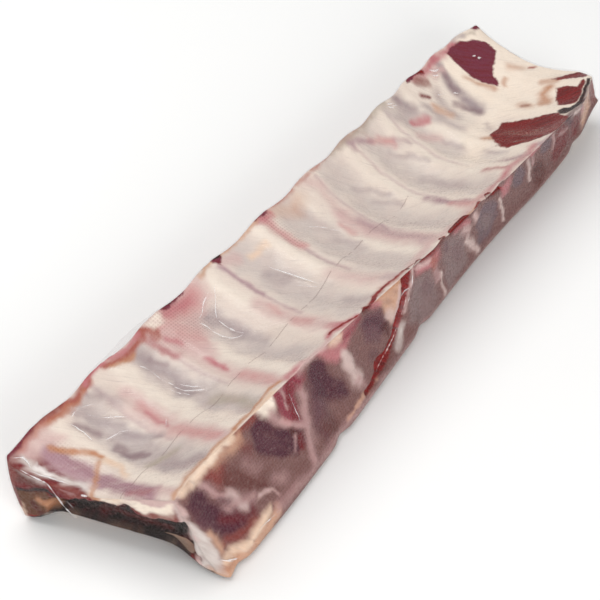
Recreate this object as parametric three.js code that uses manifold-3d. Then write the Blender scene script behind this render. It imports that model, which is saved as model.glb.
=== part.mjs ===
// A rack of raw pork ribs in a clear skin-tight bag, laid with its inner side up.
//
// Millimetres, +Z up. X runs along the backbone, from the loin end at -X to the shoulder end
// at +X. The sawn face of the backbone is on the -Y side and the cut rib ends are on the +Y
// side. The origin is under the middle of the rack, on the surface that it lies on.
//
// The bag clings to the meat, so rack and bag are one closed solid with the bag's outer form:
// a trough crossed by the ribs, a ridge along the backbone, the leaning sawn face with a deep
// slit in it, scalloped long edges, and an arch along the underside where the loin came out.
import * as THREE from "three";
import { mergeVertices } from "three/addons/utils/BufferGeometryUtils.js";
import Module from "manifold-3d";

// Length. Places along the rack are measured in its own working frame. A stretch is the pair
// of places between which a measure changes.
const LOIN_END = -215.5;
const SHOULDER_END = 190;
const RIB_PLACES = [-192, -150, -111, -64, -20, 21, 58, 90, 119, 148, 174];

// Ridge of the backbone, where the trough meets the sawn face.
const RIDGE_Y_LOIN = -54.5;
const RIDGE_Y_SHOULDER = -59.5;
const RIDGE_Y_STRETCH = [-120, 40];
const RIDGE_HEIGHT_LOIN = 52;
const RIDGE_HEIGHT_SHOULDER = 39;
const RIDGE_LOIN_CORNER = 2.5;
const RIDGE_LOIN_CORNER_STRETCH = [-192, -175];
const RIDGE_SHOULDER_CORNER = 8;
const RIDGE_SHOULDER_CORNER_STRETCH = [155, 185];
const RIDGE_NUBS = [-96, -50, 14, 50, 69];
const RIDGE_NUB_HEIGHT = 1.8;
const RIDGE_NUB_WIDTH = 4;

// Sawn face and its outer bottom edge, which splays out most at the loin end.
const FOOT_Y = -57;
const FOOT_SPLAY = 22.5;
const FOOT_SPLAY_STRETCH = [-200, 95];
const FOOT_LOIN_CORNER = 6;
const FOOT_LOIN_CORNER_STRETCH = [-195, -184];
const FOOT_SHOULDER_CORNER = 7;
const FOOT_SHOULDER_CORNER_STRETCH = [150, 205];
const FOOT_NOTCHES = [-177, -88, -5, 157];
const FOOT_NOTCH_DEPTH = 2;
const FOOT_NOTCH_WIDTH = 5;
const FAT_RIM = 1.5;
const FAT_RIM_SHARE = 0.12;
const FAT_RIM_SPREAD = 0.09;

// Edge of the cut rib ends, and the foot of meat below it.
const EDGE_Y_LOIN = 24.5;
const EDGE_Y_SHOULDER = 33.5;
const EDGE_CORNER = 3.5;
const EDGE_CORNER_STRETCH = [160, 188];
const EDGE_HEIGHT_LOIN = 42;
const EDGE_HEIGHT_SHOULDER = 36;
const EDGE_LEAN = 5;
const EDGE_BULGE = 2;
const EDGE_SCALLOP = 0.6;

// Trough between ridge and rib ends. It is deepest towards the shoulder.
const TROUGH_Y = -10;
const TROUGH_HEIGHT_LOIN = 32;
const TROUGH_HEIGHT_SHOULDER = 20;
const TROUGH_STRETCH = [-40, 60];
const TROUGH_END_RISE = 5;
const TROUGH_END_STRETCH = [120, 190];
const EDGE_SIDE_POWER = 2;
const RIDGE_SIDE_POWER = 1.6;

// Relief of the ribs across the trough: a swell on each rib with a fine groove along its
// crest, nothing at the ridge, half at the rib ends, and less under the shoulder's fat.
const RIB_RELIEF = 1.3;
const RIB_GROOVE = 0.6;
const RIB_GROOVE_FROM = 0.8;
const RIB_RELIEF_AT_EDGE = 0.5;
const RIB_RELIEF_UNDER_FAT = 0.4;
const RIDGE_SIDE_SHARES = [0, 0.15];
const EDGE_SIDE_SHARES = [0.85, 1];
const SHOULDER_FAT_STRETCH = [100, 160];

// Underside: an arch between the backbone's foot and the rib foot. The bag is drawn across
// its mouths, so it is low at both ends.
const SLAB_THICKNESS = 14;
const FOOT_WIDTH = 15;
const FOOT_WIDTH_AT_ENDS = 6;
const EDGE_FOOT_WIDTH = 17;
const EDGE_FOOT_WIDTH_AT_ENDS = 5;
const ARCH_FLANK = 9;
const ARCH_FLANK_AT_ENDS = 16;
const ARCH_MOUTH_LENGTH = 24;
const ARCH_HEIGHT_AT_ENDS = 13;
const SHOULDER_LIFT = 12;
const SHOULDER_LIFT_STRETCH = [110, 200];

// Ends. Both are cut a little askew, and all edges are rounded.
const LOIN_SKEW = 0.29;
const LOIN_SKEW_REACH = 80;
const SHOULDER_SKEW_REACH = 60;
const SHOULDER_SKEW_SPAN = [-56, -36];
const SHOULDER_RIDGE_BACK = 9;
const SHOULDER_FOOT_FORWARD = 22;
const END_ROUNDING = 3;
const EDGE_ROUNDING = 1.2;

// The slit in the sawn face, as places along the rack and shares of the face's height.
const SLIT_ROUTE = [
  [-7, 1.06],
  [-15, 0.83],
  [-22, 0.55],
  [-31, 0.35],
  [-46, 0.2],
  [-58, 0.12],
  [-70, 0.07],
];
const SLIT_RADIUS = 2.6;
const SLIT_STEPS = 26;
const SLIT_SIDES = 8;

// Muscles that show at the shoulder end, each with its place, its share of the trough's width,
// its reach along and across, and its height over the fat round it.
const MUSCLES = [
  { place: 127, middle: 0.2, long: 15, wide: 0.17, height: 1.6 },
  { place: 164, middle: 0.16, long: 9, wide: 0.08, height: 1.2 },
  { place: 170, middle: 0.86, long: 11, wide: 0.12, height: -1.2 },
];

// Fineness of the surface.
const STEPS_BETWEEN_RIBS = 7;
const END_STATIONS = [0, 1, 2.5, 4.5, 8];
const STEPS_ACROSS = 20;
const STEPS_UP = 8;
const EASING = 0.45;
const MERGE_DISTANCE = 1e-3;

const MEAT = new THREE.MeshStandardMaterial({ color: 0xd9c3b8, roughness: 0.28, metalness: 0 });

const { lerp, smoothstep, clamp } = THREE.MathUtils;

// A smooth change from 0 to 1 over a stretch, and from 1 to 0.
function rising(x, [from, to]) {
  return smoothstep(x, from, to);
}

function falling(x, stretch) {
  return 1 - rising(x, stretch);
}

// A smooth hump of height 1 round a centre.
function hump(x, centre, width) {
  return Math.exp(-(((x - centre) / width) ** 2));
}

function humps(x, centres, width) {
  return centres.reduce((sum, centre) => sum + hump(x, centre, width), 0);
}

// How far along the rack a place is, from 0 at the loin end to 1 at the shoulder end.
function along(x) {
  return clamp((x - LOIN_END) / (SHOULDER_END - LOIN_END), 0, 1);
}

// 1 on a rib, -1 halfway between two ribs.
function ribWave(x) {
  const last = RIB_PLACES.length - 2;
  const next = RIB_PLACES.findIndex((place) => place > x);
  const k = next < 0 ? last : clamp(next - 1, 0, last);
  const share = (x - RIB_PLACES[k]) / (RIB_PLACES[k + 1] - RIB_PLACES[k]);
  return Math.cos(2 * Math.PI * share);
}

// How far the shoulder end bends up off the surface below.
function lift(x) {
  return SHOULDER_LIFT * rising(x, SHOULDER_LIFT_STRETCH);
}

// The four long edges of the rack at place x, each as a point (y, z).
function ridge(x) {
  const y = lerp(RIDGE_Y_LOIN, RIDGE_Y_SHOULDER, rising(x, RIDGE_Y_STRETCH));
  const loinCorner = RIDGE_LOIN_CORNER * falling(x, RIDGE_LOIN_CORNER_STRETCH);
  const shoulderCorner = RIDGE_SHOULDER_CORNER * rising(x, RIDGE_SHOULDER_CORNER_STRETCH);
  const height = lerp(RIDGE_HEIGHT_LOIN, RIDGE_HEIGHT_SHOULDER, along(x));
  const nubs = RIDGE_NUB_HEIGHT * humps(x, RIDGE_NUBS, RIDGE_NUB_WIDTH);
  return new THREE.Vector2(y - loinCorner + shoulderCorner, height + nubs);
}

function backboneFoot(x) {
  const splay = FOOT_SPLAY * falling(x, FOOT_SPLAY_STRETCH);
  const loinCorner = FOOT_LOIN_CORNER * falling(x, FOOT_LOIN_CORNER_STRETCH);
  const shoulderCorner = FOOT_SHOULDER_CORNER * rising(x, FOOT_SHOULDER_CORNER_STRETCH);
  const notches = FOOT_NOTCH_DEPTH * humps(x, FOOT_NOTCHES, FOOT_NOTCH_WIDTH);
  return new THREE.Vector2(FOOT_Y - splay + loinCorner + shoulderCorner + notches, lift(x));
}

function ribEdge(x) {
  const corner = EDGE_CORNER * rising(x, EDGE_CORNER_STRETCH);
  const y = lerp(EDGE_Y_LOIN, EDGE_Y_SHOULDER, along(x)) - corner + EDGE_SCALLOP * ribWave(x);
  return new THREE.Vector2(y, lerp(EDGE_HEIGHT_LOIN, EDGE_HEIGHT_SHOULDER, along(x)));
}

function ribFoot(x) {
  return new THREE.Vector2(lerp(EDGE_Y_LOIN, EDGE_Y_SHOULDER, along(x)) - EDGE_LEAN, lift(x));
}

// Height of the trough's smooth surface, without the ribs' relief.
function troughHeight(x, y) {
  const floor = lerp(TROUGH_HEIGHT_LOIN, TROUGH_HEIGHT_SHOULDER, rising(x, TROUGH_STRETCH));
  const low = floor + TROUGH_END_RISE * rising(x, TROUGH_END_STRETCH);
  const side = y > TROUGH_Y ? ribEdge(x) : ridge(x);
  const power = y > TROUGH_Y ? EDGE_SIDE_POWER : RIDGE_SIDE_POWER;
  const share = clamp((y - TROUGH_Y) / (side.x - TROUGH_Y), 0, 1);
  return low + (side.y - low) * share ** power;
}

// Height of the ribs' swells and grooves, for a share of the way from ridge to rib ends.
function ribRelief(x, share) {
  const swell = RIB_RELIEF * ribWave(x) - RIB_GROOVE * rising(ribWave(x), [RIB_GROOVE_FROM, 1]);
  const atEdge = lerp(1, RIB_RELIEF_AT_EDGE, rising(share, EDGE_SIDE_SHARES));
  const underFat = lerp(1, RIB_RELIEF_UNDER_FAT, rising(x, SHOULDER_FAT_STRETCH));
  return swell * rising(share, RIDGE_SIDE_SHARES) * atEdge * underFat;
}

function muscleRelief(x, share) {
  return MUSCLES.reduce(
    (sum, { place, middle, long, wide, height }) =>
      sum + height * hump(x, place, long) * hump(share, middle, wide),
    0,
  );
}

// A point on the trough, from the ridge at share 0 to the rib ends at share 1.
function troughPoint(x, share) {
  const y = lerp(ridge(x).x, ribEdge(x).x, share);
  const edges = share === 0 || share === 1 ? EDGE_ROUNDING : 0;
  const height = troughHeight(x, y) + ribRelief(x, share) + muscleRelief(x, share);
  return new THREE.Vector2(y, height - edges);
}

// A point on the underside, from the backbone's foot at share 0 to the rib foot at share 1.
// Its station says how far it is from the arch's mouths.
function undersidePoint(x, share, station) {
  const inside =
    smoothstep(station - LOIN_END, 0, ARCH_MOUTH_LENGTH) *
    smoothstep(SHOULDER_END - station, 0, ARCH_MOUTH_LENGTH);
  const y = lerp(backboneFoot(x).x, ribFoot(x).x, share);
  const flank = lerp(ARCH_FLANK_AT_ENDS, ARCH_FLANK, inside);
  const inner = backboneFoot(x).x + lerp(FOOT_WIDTH_AT_ENDS, FOOT_WIDTH, inside);
  const outer = ribFoot(x).x - lerp(EDGE_FOOT_WIDTH_AT_ENDS, EDGE_FOOT_WIDTH, inside);
  const opened = rising(y, [inner, inner + flank]) * falling(y, [outer - flank, outer]);
  const full = Math.max(0, troughHeight(x, y) - SLAB_THICKNESS - lift(x));
  const rise = lerp(Math.min(full, ARCH_HEIGHT_AT_ENDS), full, inside);
  return new THREE.Vector2(y, lift(x) + rise * opened);
}

// A point on the sawn face, from the foot at share 0 to the ridge at share 1.
function facePoint(x, share) {
  const rim = FAT_RIM * hump(share, FAT_RIM_SHARE, FAT_RIM_SPREAD);
  const inward = share === 0 || share === 1 ? EDGE_ROUNDING : 0;
  const downward = share === 1 ? EDGE_ROUNDING : 0;
  const point = backboneFoot(x).lerp(ridge(x), share);
  return point.add(new THREE.Vector2(inward - rim, -downward));
}

// A point on the side of the rib ends, from the foot at share 0 to the edge at share 1.
function ribSidePoint(x, share) {
  const bulge = EDGE_BULGE * Math.sin(Math.PI * share);
  const downward = share === 1 ? EDGE_ROUNDING : 0;
  return ribFoot(x).lerp(ribEdge(x), share).add(new THREE.Vector2(bulge, -downward));
}

// A point of the section at place x. Its four sides are the curves above, and across and up
// run from 0 to 1 between them.
function sectionPoint(x, across, up, station) {
  const point = new THREE.Vector2();
  point.addScaledVector(undersidePoint(x, across, station), 1 - up);
  point.addScaledVector(troughPoint(x, across), up);
  point.addScaledVector(facePoint(x, up), 1 - across);
  point.addScaledVector(ribSidePoint(x, up), across);
  point.addScaledVector(facePoint(x, 0), -(1 - across) * (1 - up));
  point.addScaledVector(facePoint(x, 1), -(1 - across) * up);
  point.addScaledVector(ribSidePoint(x, 0), -across * (1 - up));
  point.addScaledVector(ribSidePoint(x, 1), -across * up);
  return point;
}

// How far a section's point stands in front of its station, because the ends are cut askew.
function endSkew(station, y, z) {
  const nearLoin = 1 - smoothstep(station, LOIN_END, LOIN_END + LOIN_SKEW_REACH);
  const loin = (EDGE_Y_LOIN - y) * LOIN_SKEW * nearLoin;
  const nearShoulder = smoothstep(station, SHOULDER_END - SHOULDER_SKEW_REACH, SHOULDER_END);
  const down = 1 - z / RIDGE_HEIGHT_SHOULDER;
  const forward = SHOULDER_FOOT_FORWARD * down - SHOULDER_RIDGE_BACK;
  return loin + forward * falling(y, SHOULDER_SKEW_SPAN) * nearShoulder;
}

// A point of the rack, for shares of its width and height at a station.
function rackPoint(station, across, up) {
  const fromEnd = Math.min(station - LOIN_END, SHOULDER_END - station, END_ROUNDING);
  const inset = END_ROUNDING - Math.sqrt(END_ROUNDING ** 2 - (END_ROUNDING - fromEnd) ** 2);
  const slim = inset / (EDGE_Y_LOIN - RIDGE_Y_LOIN);
  const low = inset / EDGE_HEIGHT_LOIN;
  const shares = [lerp(slim, 1 - slim, across), lerp(low, 1 - low, up)];
  const upright = sectionPoint(station, ...shares, station);
  const x = station + endSkew(station, upright.x, upright.y);
  const point = sectionPoint(x, ...shares, station);
  return new THREE.Vector3(x, point.x, point.y);
}

// Places of the sections: close together at the ends, then evenly from rib to rib.
function stations() {
  const places = END_STATIONS.map((step) => LOIN_END + step);
  const inner = RIB_PLACES.filter((place) => place < SHOULDER_END - END_STATIONS.at(-1));
  for (let k = 0; k + 1 < inner.length; k += 1) {
    for (let step = 0; step < STEPS_BETWEEN_RIBS; step += 1) {
      places.push(lerp(inner[k], inner[k + 1], step / STEPS_BETWEEN_RIBS));
    }
  }
  places.push(inner.at(-1));
  places.push(...END_STATIONS.map((step) => SHOULDER_END - step).reverse());
  return places;
}

// Shares from 0 to 1 that lie closer together at both ends.
function eased(share) {
  return lerp(share, smoothstep(share, 0, 1), EASING);
}

// The rack without its slit: a box divided along, across and up, with each point moved to
// its place on the rack.
function rackGeometry() {
  const places = stations();
  const geometry = new THREE.BoxGeometry(1, 1, 1, places.length - 1, STEPS_ACROSS, STEPS_UP);
  const position = geometry.getAttribute("position");
  const shares = new THREE.Vector3();
  for (let i = 0; i < position.count; i += 1) {
    shares.fromBufferAttribute(position, i).addScalar(0.5);
    const place = places[Math.round(shares.x * (places.length - 1))];
    const point = rackPoint(place, eased(shares.y), shares.z);
    position.setXYZ(i, point.x, point.y, point.z);
  }
  return geometry;
}

// The tool that cuts the slit: a round bar bent along the slit's route on the sawn face.
function slitGeometry() {
  const route = SLIT_ROUTE.map(([x, share]) => {
    const point = backboneFoot(x).lerp(ridge(x), share);
    return new THREE.Vector3(x, point.x, point.y);
  });
  const round = new THREE.Shape(
    Array.from({ length: SLIT_SIDES }, (_, k) => {
      const turn = (2 * Math.PI * k) / SLIT_SIDES;
      return new THREE.Vector2(Math.cos(turn), Math.sin(turn)).multiplyScalar(SLIT_RADIUS);
    }),
  );
  return new THREE.ExtrudeGeometry(round, {
    steps: SLIT_STEPS,
    bevelEnabled: false,
    extrudePath: new THREE.CatmullRomCurve3(route),
  });
}

const wasm = await Module();
wasm.setup();

// A closed geometry as a solid that can be cut.
function solidOf(geometry) {
  const bare = new THREE.BufferGeometry();
  bare.setAttribute("position", geometry.getAttribute("position"));
  if (geometry.index) bare.setIndex(geometry.index);
  const merged = mergeVertices(bare, MERGE_DISTANCE);
  return new wasm.Manifold(
    new wasm.Mesh({
      numProp: 3,
      vertProperties: merged.getAttribute("position").array,
      triVerts: new Uint32Array(merged.index.array),
    }),
  );
}

// A solid as a geometry whose box stands on the origin, centred over it.
function geometryOf(solid) {
  const { vertProperties, triVerts } = solid.getMesh();
  const geometry = new THREE.BufferGeometry();
  geometry.setAttribute("position", new THREE.BufferAttribute(vertProperties, 3));
  geometry.setIndex(new THREE.BufferAttribute(triVerts, 1));
  geometry.computeBoundingBox();
  const middle = geometry.boundingBox.getCenter(new THREE.Vector3());
  geometry.translate(-middle.x, -middle.y, -geometry.boundingBox.min.z);
  geometry.computeVertexNormals();
  return geometry;
}

const rack = new THREE.Mesh(
  geometryOf(solidOf(rackGeometry()).subtract(solidOf(slitGeometry()))),
  MEAT,
);
rack.name = "pork_ribs_pack";

const part = new THREE.Group();
part.add(rack);

export default part;
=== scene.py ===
"""A raw rack of pork ribs in a clear bag that clings to it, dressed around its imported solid.

The rack and the bag are closed meshes shaped from one description of the rack's form. The
rack's colours and low relief are painted on its vertices from short lists of marks, each a
stroke or a patch on one side of the rack, and a node material adds the fibres, the crisp
edges and the embossing of the film.
"""
import itertools
import logging
import math
from dataclasses import dataclass, field
from enum import Enum
from typing import Iterable, Optional, Sequence, Union

import bpy
import numpy as np
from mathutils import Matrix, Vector


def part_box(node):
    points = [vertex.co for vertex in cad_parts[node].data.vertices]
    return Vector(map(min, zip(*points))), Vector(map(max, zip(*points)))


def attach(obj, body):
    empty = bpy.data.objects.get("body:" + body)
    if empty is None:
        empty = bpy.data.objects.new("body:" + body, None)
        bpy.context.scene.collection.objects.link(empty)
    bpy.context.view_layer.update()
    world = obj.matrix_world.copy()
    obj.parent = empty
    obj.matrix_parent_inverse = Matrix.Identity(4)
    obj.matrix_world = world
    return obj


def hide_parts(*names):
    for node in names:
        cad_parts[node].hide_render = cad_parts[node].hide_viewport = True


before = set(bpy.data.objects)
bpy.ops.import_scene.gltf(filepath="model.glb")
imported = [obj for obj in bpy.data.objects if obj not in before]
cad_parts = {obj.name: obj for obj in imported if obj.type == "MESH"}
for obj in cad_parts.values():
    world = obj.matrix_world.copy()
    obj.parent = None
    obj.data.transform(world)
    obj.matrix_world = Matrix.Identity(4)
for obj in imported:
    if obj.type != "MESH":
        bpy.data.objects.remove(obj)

Pair = tuple[np.ndarray, np.ndarray]

LOG = logging.getLogger("rack")
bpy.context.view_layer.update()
NODE = "pork_ribs_pack"
BODY = "root"
MILLIMETRE = 0.001
SHEEN = 0.04


class Slot(Enum):
    """The record's material slots."""

    MEMBRANE = "membrane"
    MEAT = "meat"
    FILM = "film"


class Side(Enum):
    """The rack's six sides: a number, and the millimetres that a share of one spans there."""

    TROUGH = (0, 95.0)
    SAWN_FACE = (1, 50.0)
    RIB_SIDE = (2, 38.0)
    UNDERSIDE = (3, 80.0)
    LOIN_END = (4, 1.0)
    SHOULDER_END = (5, 1.0)

    @property
    def number(self) -> int:
        """The side's number in the painter's arrays."""
        return self.value[0]

    @property
    def span(self) -> float:
        """Millimetres of surface for a share of one."""
        return self.value[1]


class Tone(Enum):
    """The colours of meat, fat, bone and membrane, and of painted shade and painted highlights, as they
    look, in sRGB.
    """

    CREAM = "dfd1c6"
    PALE_CREAM = "ede1d4"
    FAT = "f5e7d7"
    WARM_FAT = "e6cbb4"
    GREY = "c0b3af"
    PALE_GREY = "d3c9c3"
    WHITE_FILM = "f0ebe8"
    OLIVE_GREY = "b5aa9c"
    LILAC_GREY = "a89a9a"
    DARK_LILAC = "8c787c"
    LILAC = "ad8c93"
    MAUVE = "b1979b"
    BLUSH = "d3b6b1"
    PINK = "cfa29e"
    DEEP_PINK = "b27a7b"
    ROSE = "c08084"
    TAN = "c9a189"
    ORANGE_TAN = "c08e70"
    RED_TAN = "a96a60"
    RED_BROWN = "874f4b"
    BROWN = "6c4a47"
    DULL_BROWN = "80625f"
    GREY_MAUVE = "8a7776"
    DARK_CELL = "583a44"
    DIM_CELL = "6d5056"
    MAROON = "5a2c34"
    BLOOD = "941d2e"
    RED_MEAT = "861f31"
    PLUM = "7a4551"
    RASPBERRY = "8f4a54"
    DULL_MAUVE = "746369"
    DULL_OLIVE = "6a4f41"
    BROWN_RED = "76373d"
    NEAR_BLACK = "2b1a17"
    SEAM = "b2918f"
    PALE_SEAM = "cdb7b1"

    @property
    def linear(self) -> tuple[float, float, float]:
        """The tone as linear light."""
        parts = (int(self.value[at : at + 2], 16) / 255.0 for at in (0, 2, 4))
        red, green, blue = (
            part / 12.92 if part <= 0.04045 else ((part + 0.055) / 1.055) ** 2.4 for part in parts
        )
        return red, green, blue

    @property
    def painted(self) -> tuple[float, float, float]:
        """The tone as linear light, less the pale sheen that wet film adds to it."""
        red, green, blue = (max(0.004, (part - SHEEN) / (1.0 - SHEEN)) for part in self.linear)
        return red, green, blue


def rising(value: np.ndarray, start: float, end: float) -> np.ndarray:
    """Runs smoothly from 0 at the start to 1 at the end.

    Args:
        value: Places to work it out at.
        start: Where it leaves 0.
        end: Where it reaches 1.

    Returns:
        One share for each place.
    """
    share = np.clip((np.asarray(value, float) - start) / (end - start), 0.0, 1.0)
    return share * share * (3.0 - 2.0 * share)


def falling(value: np.ndarray, start: float, end: float) -> np.ndarray:
    """Runs smoothly from 1 at the start to 0 at the end."""
    return 1.0 - rising(value, start, end)


def hump(value: np.ndarray, centre: float, width: float) -> np.ndarray:
    """A round hump of height 1 at the centre."""
    return np.exp(-(((value - centre) / width) ** 2))


def blend(first: np.ndarray, second: np.ndarray, share: np.ndarray) -> np.ndarray:
    """The first value at share 0, the second at share 1."""
    return first + (second - first) * share


@dataclass(frozen=True)
class RackForm:
    """The rack's outer form in millimetres: X along the backbone, Y outwards, Z up.

    Four curves bound each cross section: the trough above, the underside, the sawn face of
    the backbone and the side where the ribs were cut. The inside is blended from them.
    """

    loin_end: float = -215.5
    shoulder_end: float = 190.0
    ribs: tuple[float, ...] = (-192, -150, -111, -64, -20, 21, 58, 90, 119, 148, 174)
    ridge_nubs: tuple[float, ...] = (-96, -50, 14, 50, 69)
    foot_notches: tuple[float, ...] = (-177, -88, -5, 157)
    ridge_height: tuple[float, float] = (52.0, 39.0)
    rib_edge_height: tuple[float, float] = (42.0, 36.0)
    trough_low: tuple[float, float] = (32.0, 20.0)
    slab: float = 14.0
    end_arch: float = 13.0
    end_round: float = 3.0
    mean_size: tuple[float, float] = (79.0, 42.0)
    axis: float = -10.0
    foot_curl: float = 12.0
    end_slope: float = 0.29
    square_end: float = 24.5

    def along(self, x: np.ndarray) -> np.ndarray:
        """Share of the way from the loin end to the shoulder end."""
        return np.clip((x - self.loin_end) / (self.shoulder_end - self.loin_end), 0.0, 1.0)

    def rib_wave(self, x: np.ndarray) -> np.ndarray:
        """A wave that is 1 on each rib and -1 between ribs.

        Args:
            x: Places along the backbone, in millimetres.

        Returns:
            One height from -1 to 1 for each place.
        """
        ribs = np.array(self.ribs, float)
        phase = np.interp(x, ribs, np.arange(len(ribs)))
        phase = phase + np.where(x < ribs[0], (x - ribs[0]) / (ribs[1] - ribs[0]), 0.0)
        phase = phase + np.where(x > ribs[-1], (x - ribs[-1]) / (ribs[-1] - ribs[-2]), 0.0)
        return np.cos(2.0 * np.pi * phase)

    def lift(self, x: np.ndarray) -> np.ndarray:
        """How far the shoulder end's foot curls up."""
        return self.foot_curl * rising(x, 110, 200)

    def ridge(self, x: np.ndarray) -> Pair:
        """Y and Z of the edge between the trough and the sawn face.

        Args:
            x: Places along the backbone, in millimetres.

        Returns:
            Y and Z in millimetres.
        """
        y = blend(-54.5, -59.5, rising(x, -120, 40)) - 2.5 * falling(x, -192, -175)
        nubs = 1.8 * sum(hump(x, nub, 4.0) for nub in self.ridge_nubs)
        return y + 8.0 * rising(x, 155, 185), blend(*self.ridge_height, self.along(x)) + nubs

    def backbone_foot(self, x: np.ndarray) -> Pair:
        """Y and Z of the foot of the sawn face.

        Args:
            x: Places along the backbone, in millimetres.

        Returns:
            Y and Z in millimetres.
        """
        y = -57.0 - 22.5 * falling(x, -200, 95) + 6.0 * falling(x, -195, -184)
        notches = 2.0 * sum(hump(x, notch, 5.0) for notch in self.foot_notches)
        return y + 7.0 * rising(x, 150, 205) + notches, self.lift(x)

    def rib_edge(self, x: np.ndarray) -> Pair:
        """Y and Z of the edge between the trough and the side of the cut ribs."""
        y = blend(24.5, 33.5, self.along(x)) - 3.5 * rising(x, 160, 188)
        return y + 0.6 * self.rib_wave(x), blend(*self.rib_edge_height, self.along(x))

    def rib_foot(self, x: np.ndarray) -> Pair:
        """Y and Z of the foot of the side of the cut ribs."""
        return blend(24.5, 33.5, self.along(x)) - 5.0, self.lift(x)

    def trough_height(self, x: np.ndarray, y: np.ndarray) -> np.ndarray:
        """Height of the trough, without its ribs.

        Args:
            x: Places along the backbone, in millimetres.
            y: Places across, in millimetres.

        Returns:
            Z in millimetres.
        """
        low = blend(*self.trough_low, rising(x, -40, 60)) + 5.0 * rising(x, 120, 190)
        (edge_y, edge_z), (ridge_y, ridge_z) = self.rib_edge(x), self.ridge(x)
        outer = y > self.axis
        side_y, side_z = np.where(outer, edge_y, ridge_y), np.where(outer, edge_z, ridge_z)
        share = np.clip((y - self.axis) / (side_y - self.axis), 0.0, 1.0)
        return low + (side_z - low) * share ** np.where(outer, 2.0, 1.6)

    def trough(self, x: np.ndarray, share: np.ndarray) -> Pair:
        """Y and Z on the trough, from the ridge at share 0 to the rib edge at share 1.

        Args:
            x: Places along the backbone, in millimetres.
            share: Shares from the first edge to the second.

        Returns:
            Y and Z in millimetres.
        """
        y = blend(self.ridge(x)[0], self.rib_edge(x)[0], share)
        wave = self.rib_wave(x)
        swell = (1.3 * wave - 0.6 * rising(wave, 0.8, 1.0)) * rising(share, 0, 0.15)
        swell = swell * blend(1.0, 0.5, rising(share, 0.85, 1.0)) * blend(1.0, 0.4, rising(x, 100, 160))
        return y, self.trough_height(x, y) + swell

    def underside(self, x: np.ndarray, share: np.ndarray, station: np.ndarray) -> Pair:
        """Y and Z on the arched underside, from the backbone's foot to the ribs' foot.

        Args:
            x: Places along the backbone, in millimetres.
            share: Shares from the first edge to the second.
            station: Places along before the ends are slanted.

        Returns:
            Y and Z in millimetres.
        """
        foot_y, edge_y = self.backbone_foot(x)[0], self.rib_foot(x)[0]
        y = blend(foot_y, edge_y, share)
        inside = rising(station - self.loin_end, 0, 24) * rising(self.shoulder_end - station, 0, 24)
        flank = blend(16.0, 9.0, inside)
        inner, outer = foot_y + blend(6.0, 15.0, inside), edge_y - blend(5.0, 17.0, inside)
        opened = rising(y, inner, inner + flank) * falling(y, outer - flank, outer)
        full = np.maximum(0.0, self.trough_height(x, y) - self.slab - self.lift(x))
        return y, self.lift(x) + blend(np.minimum(full, self.end_arch), full, inside) * opened

    def sawn_face(self, x: np.ndarray, share: np.ndarray) -> Pair:
        """Y and Z on the sawn face, from its foot to the ridge."""
        (foot_y, foot_z), (ridge_y, ridge_z) = self.backbone_foot(x), self.ridge(x)
        return blend(foot_y, ridge_y, share) - 1.5 * hump(share, 0.12, 0.09), blend(foot_z, ridge_z, share)

    def rib_side(self, x: np.ndarray, share: np.ndarray) -> Pair:
        """Y and Z on the side of the cut ribs, from its foot to the rib edge."""
        (foot_y, foot_z), (edge_y, edge_z) = self.rib_foot(x), self.rib_edge(x)
        return blend(foot_y, edge_y, share) + 2.0 * np.sin(np.pi * share), blend(foot_z, edge_z, share)

    def section(self, x: np.ndarray, across: np.ndarray, up: np.ndarray, station: np.ndarray) -> Pair:
        """Y and Z inside the cross section at x, blended from its four curves.

        Args:
            x: Places along the backbone, in millimetres.
            across: Shares from the sawn face to the cut ribs.
            up: Shares from the underside to the trough.
            station: Places along before the ends are slanted.

        Returns:
            Y and Z in millimetres.
        """
        zero, one = np.zeros_like(across), np.ones_like(across)
        below, above = self.underside(x, across, station), self.trough(x, across)
        left, right = self.sawn_face(x, up), self.rib_side(x, up)
        left_low, left_high = self.sawn_face(x, zero), self.sawn_face(x, one)
        right_low, right_high = self.rib_side(x, zero), self.rib_side(x, one)
        return tuple(
            blend(below[axis], above[axis], up) + blend(left[axis], right[axis], across)
            - blend(blend(left_low[axis], left_high[axis], up),
                    blend(right_low[axis], right_high[axis], up), across)
            for axis in (0, 1)
        )

    def loin_slant(self, y: np.ndarray) -> np.ndarray:
        """How far the slanted loin end reaches inwards from its rib edge."""
        return (self.square_end - y) * self.end_slope

    def skew(self, station: np.ndarray, y: np.ndarray, z: np.ndarray) -> np.ndarray:
        """How far the two slanted ends move a point along the backbone.

        Args:
            station: Places along before the ends are slanted.
            y: Places across, in millimetres.
            z: Heights in millimetres.

        Returns:
            Millimetres along X.
        """
        loin = self.loin_slant(y) * falling(station, self.loin_end, self.loin_end + 80)
        forward = (22.0 * (1.0 - z / 39.0) - 9.0) * falling(y, -56, -36)
        return loin + forward * rising(station, self.shoulder_end - 60, self.shoulder_end)

    def point(self, station: np.ndarray, across: np.ndarray, up: np.ndarray) -> np.ndarray:
        """Places in the rack.

        Args:
            station: Millimetres along the backbone, before the ends are slanted.
            across: Share from the sawn face to the cut ribs.
            up: Share from the underside to the trough.

        Returns:
            One row of X, Y and Z in millimetres for each place.
        """
        from_end = np.minimum(station - self.loin_end, self.shoulder_end - station)
        depth = np.minimum(from_end, self.end_round)
        inset = self.end_round - np.sqrt(np.maximum(0.0, self.end_round**2 - (self.end_round - depth) ** 2))
        slim, low = inset / self.mean_size[0], inset / self.mean_size[1]
        across, up = blend(slim, 1.0 - slim, across), blend(low, 1.0 - low, up)
        y, z = self.section(station, across, up, station)
        x = station + self.skew(station, y, z)
        y, z = self.section(x, across, up, station)
        return np.stack([x, y, z], axis=-1)


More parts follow.
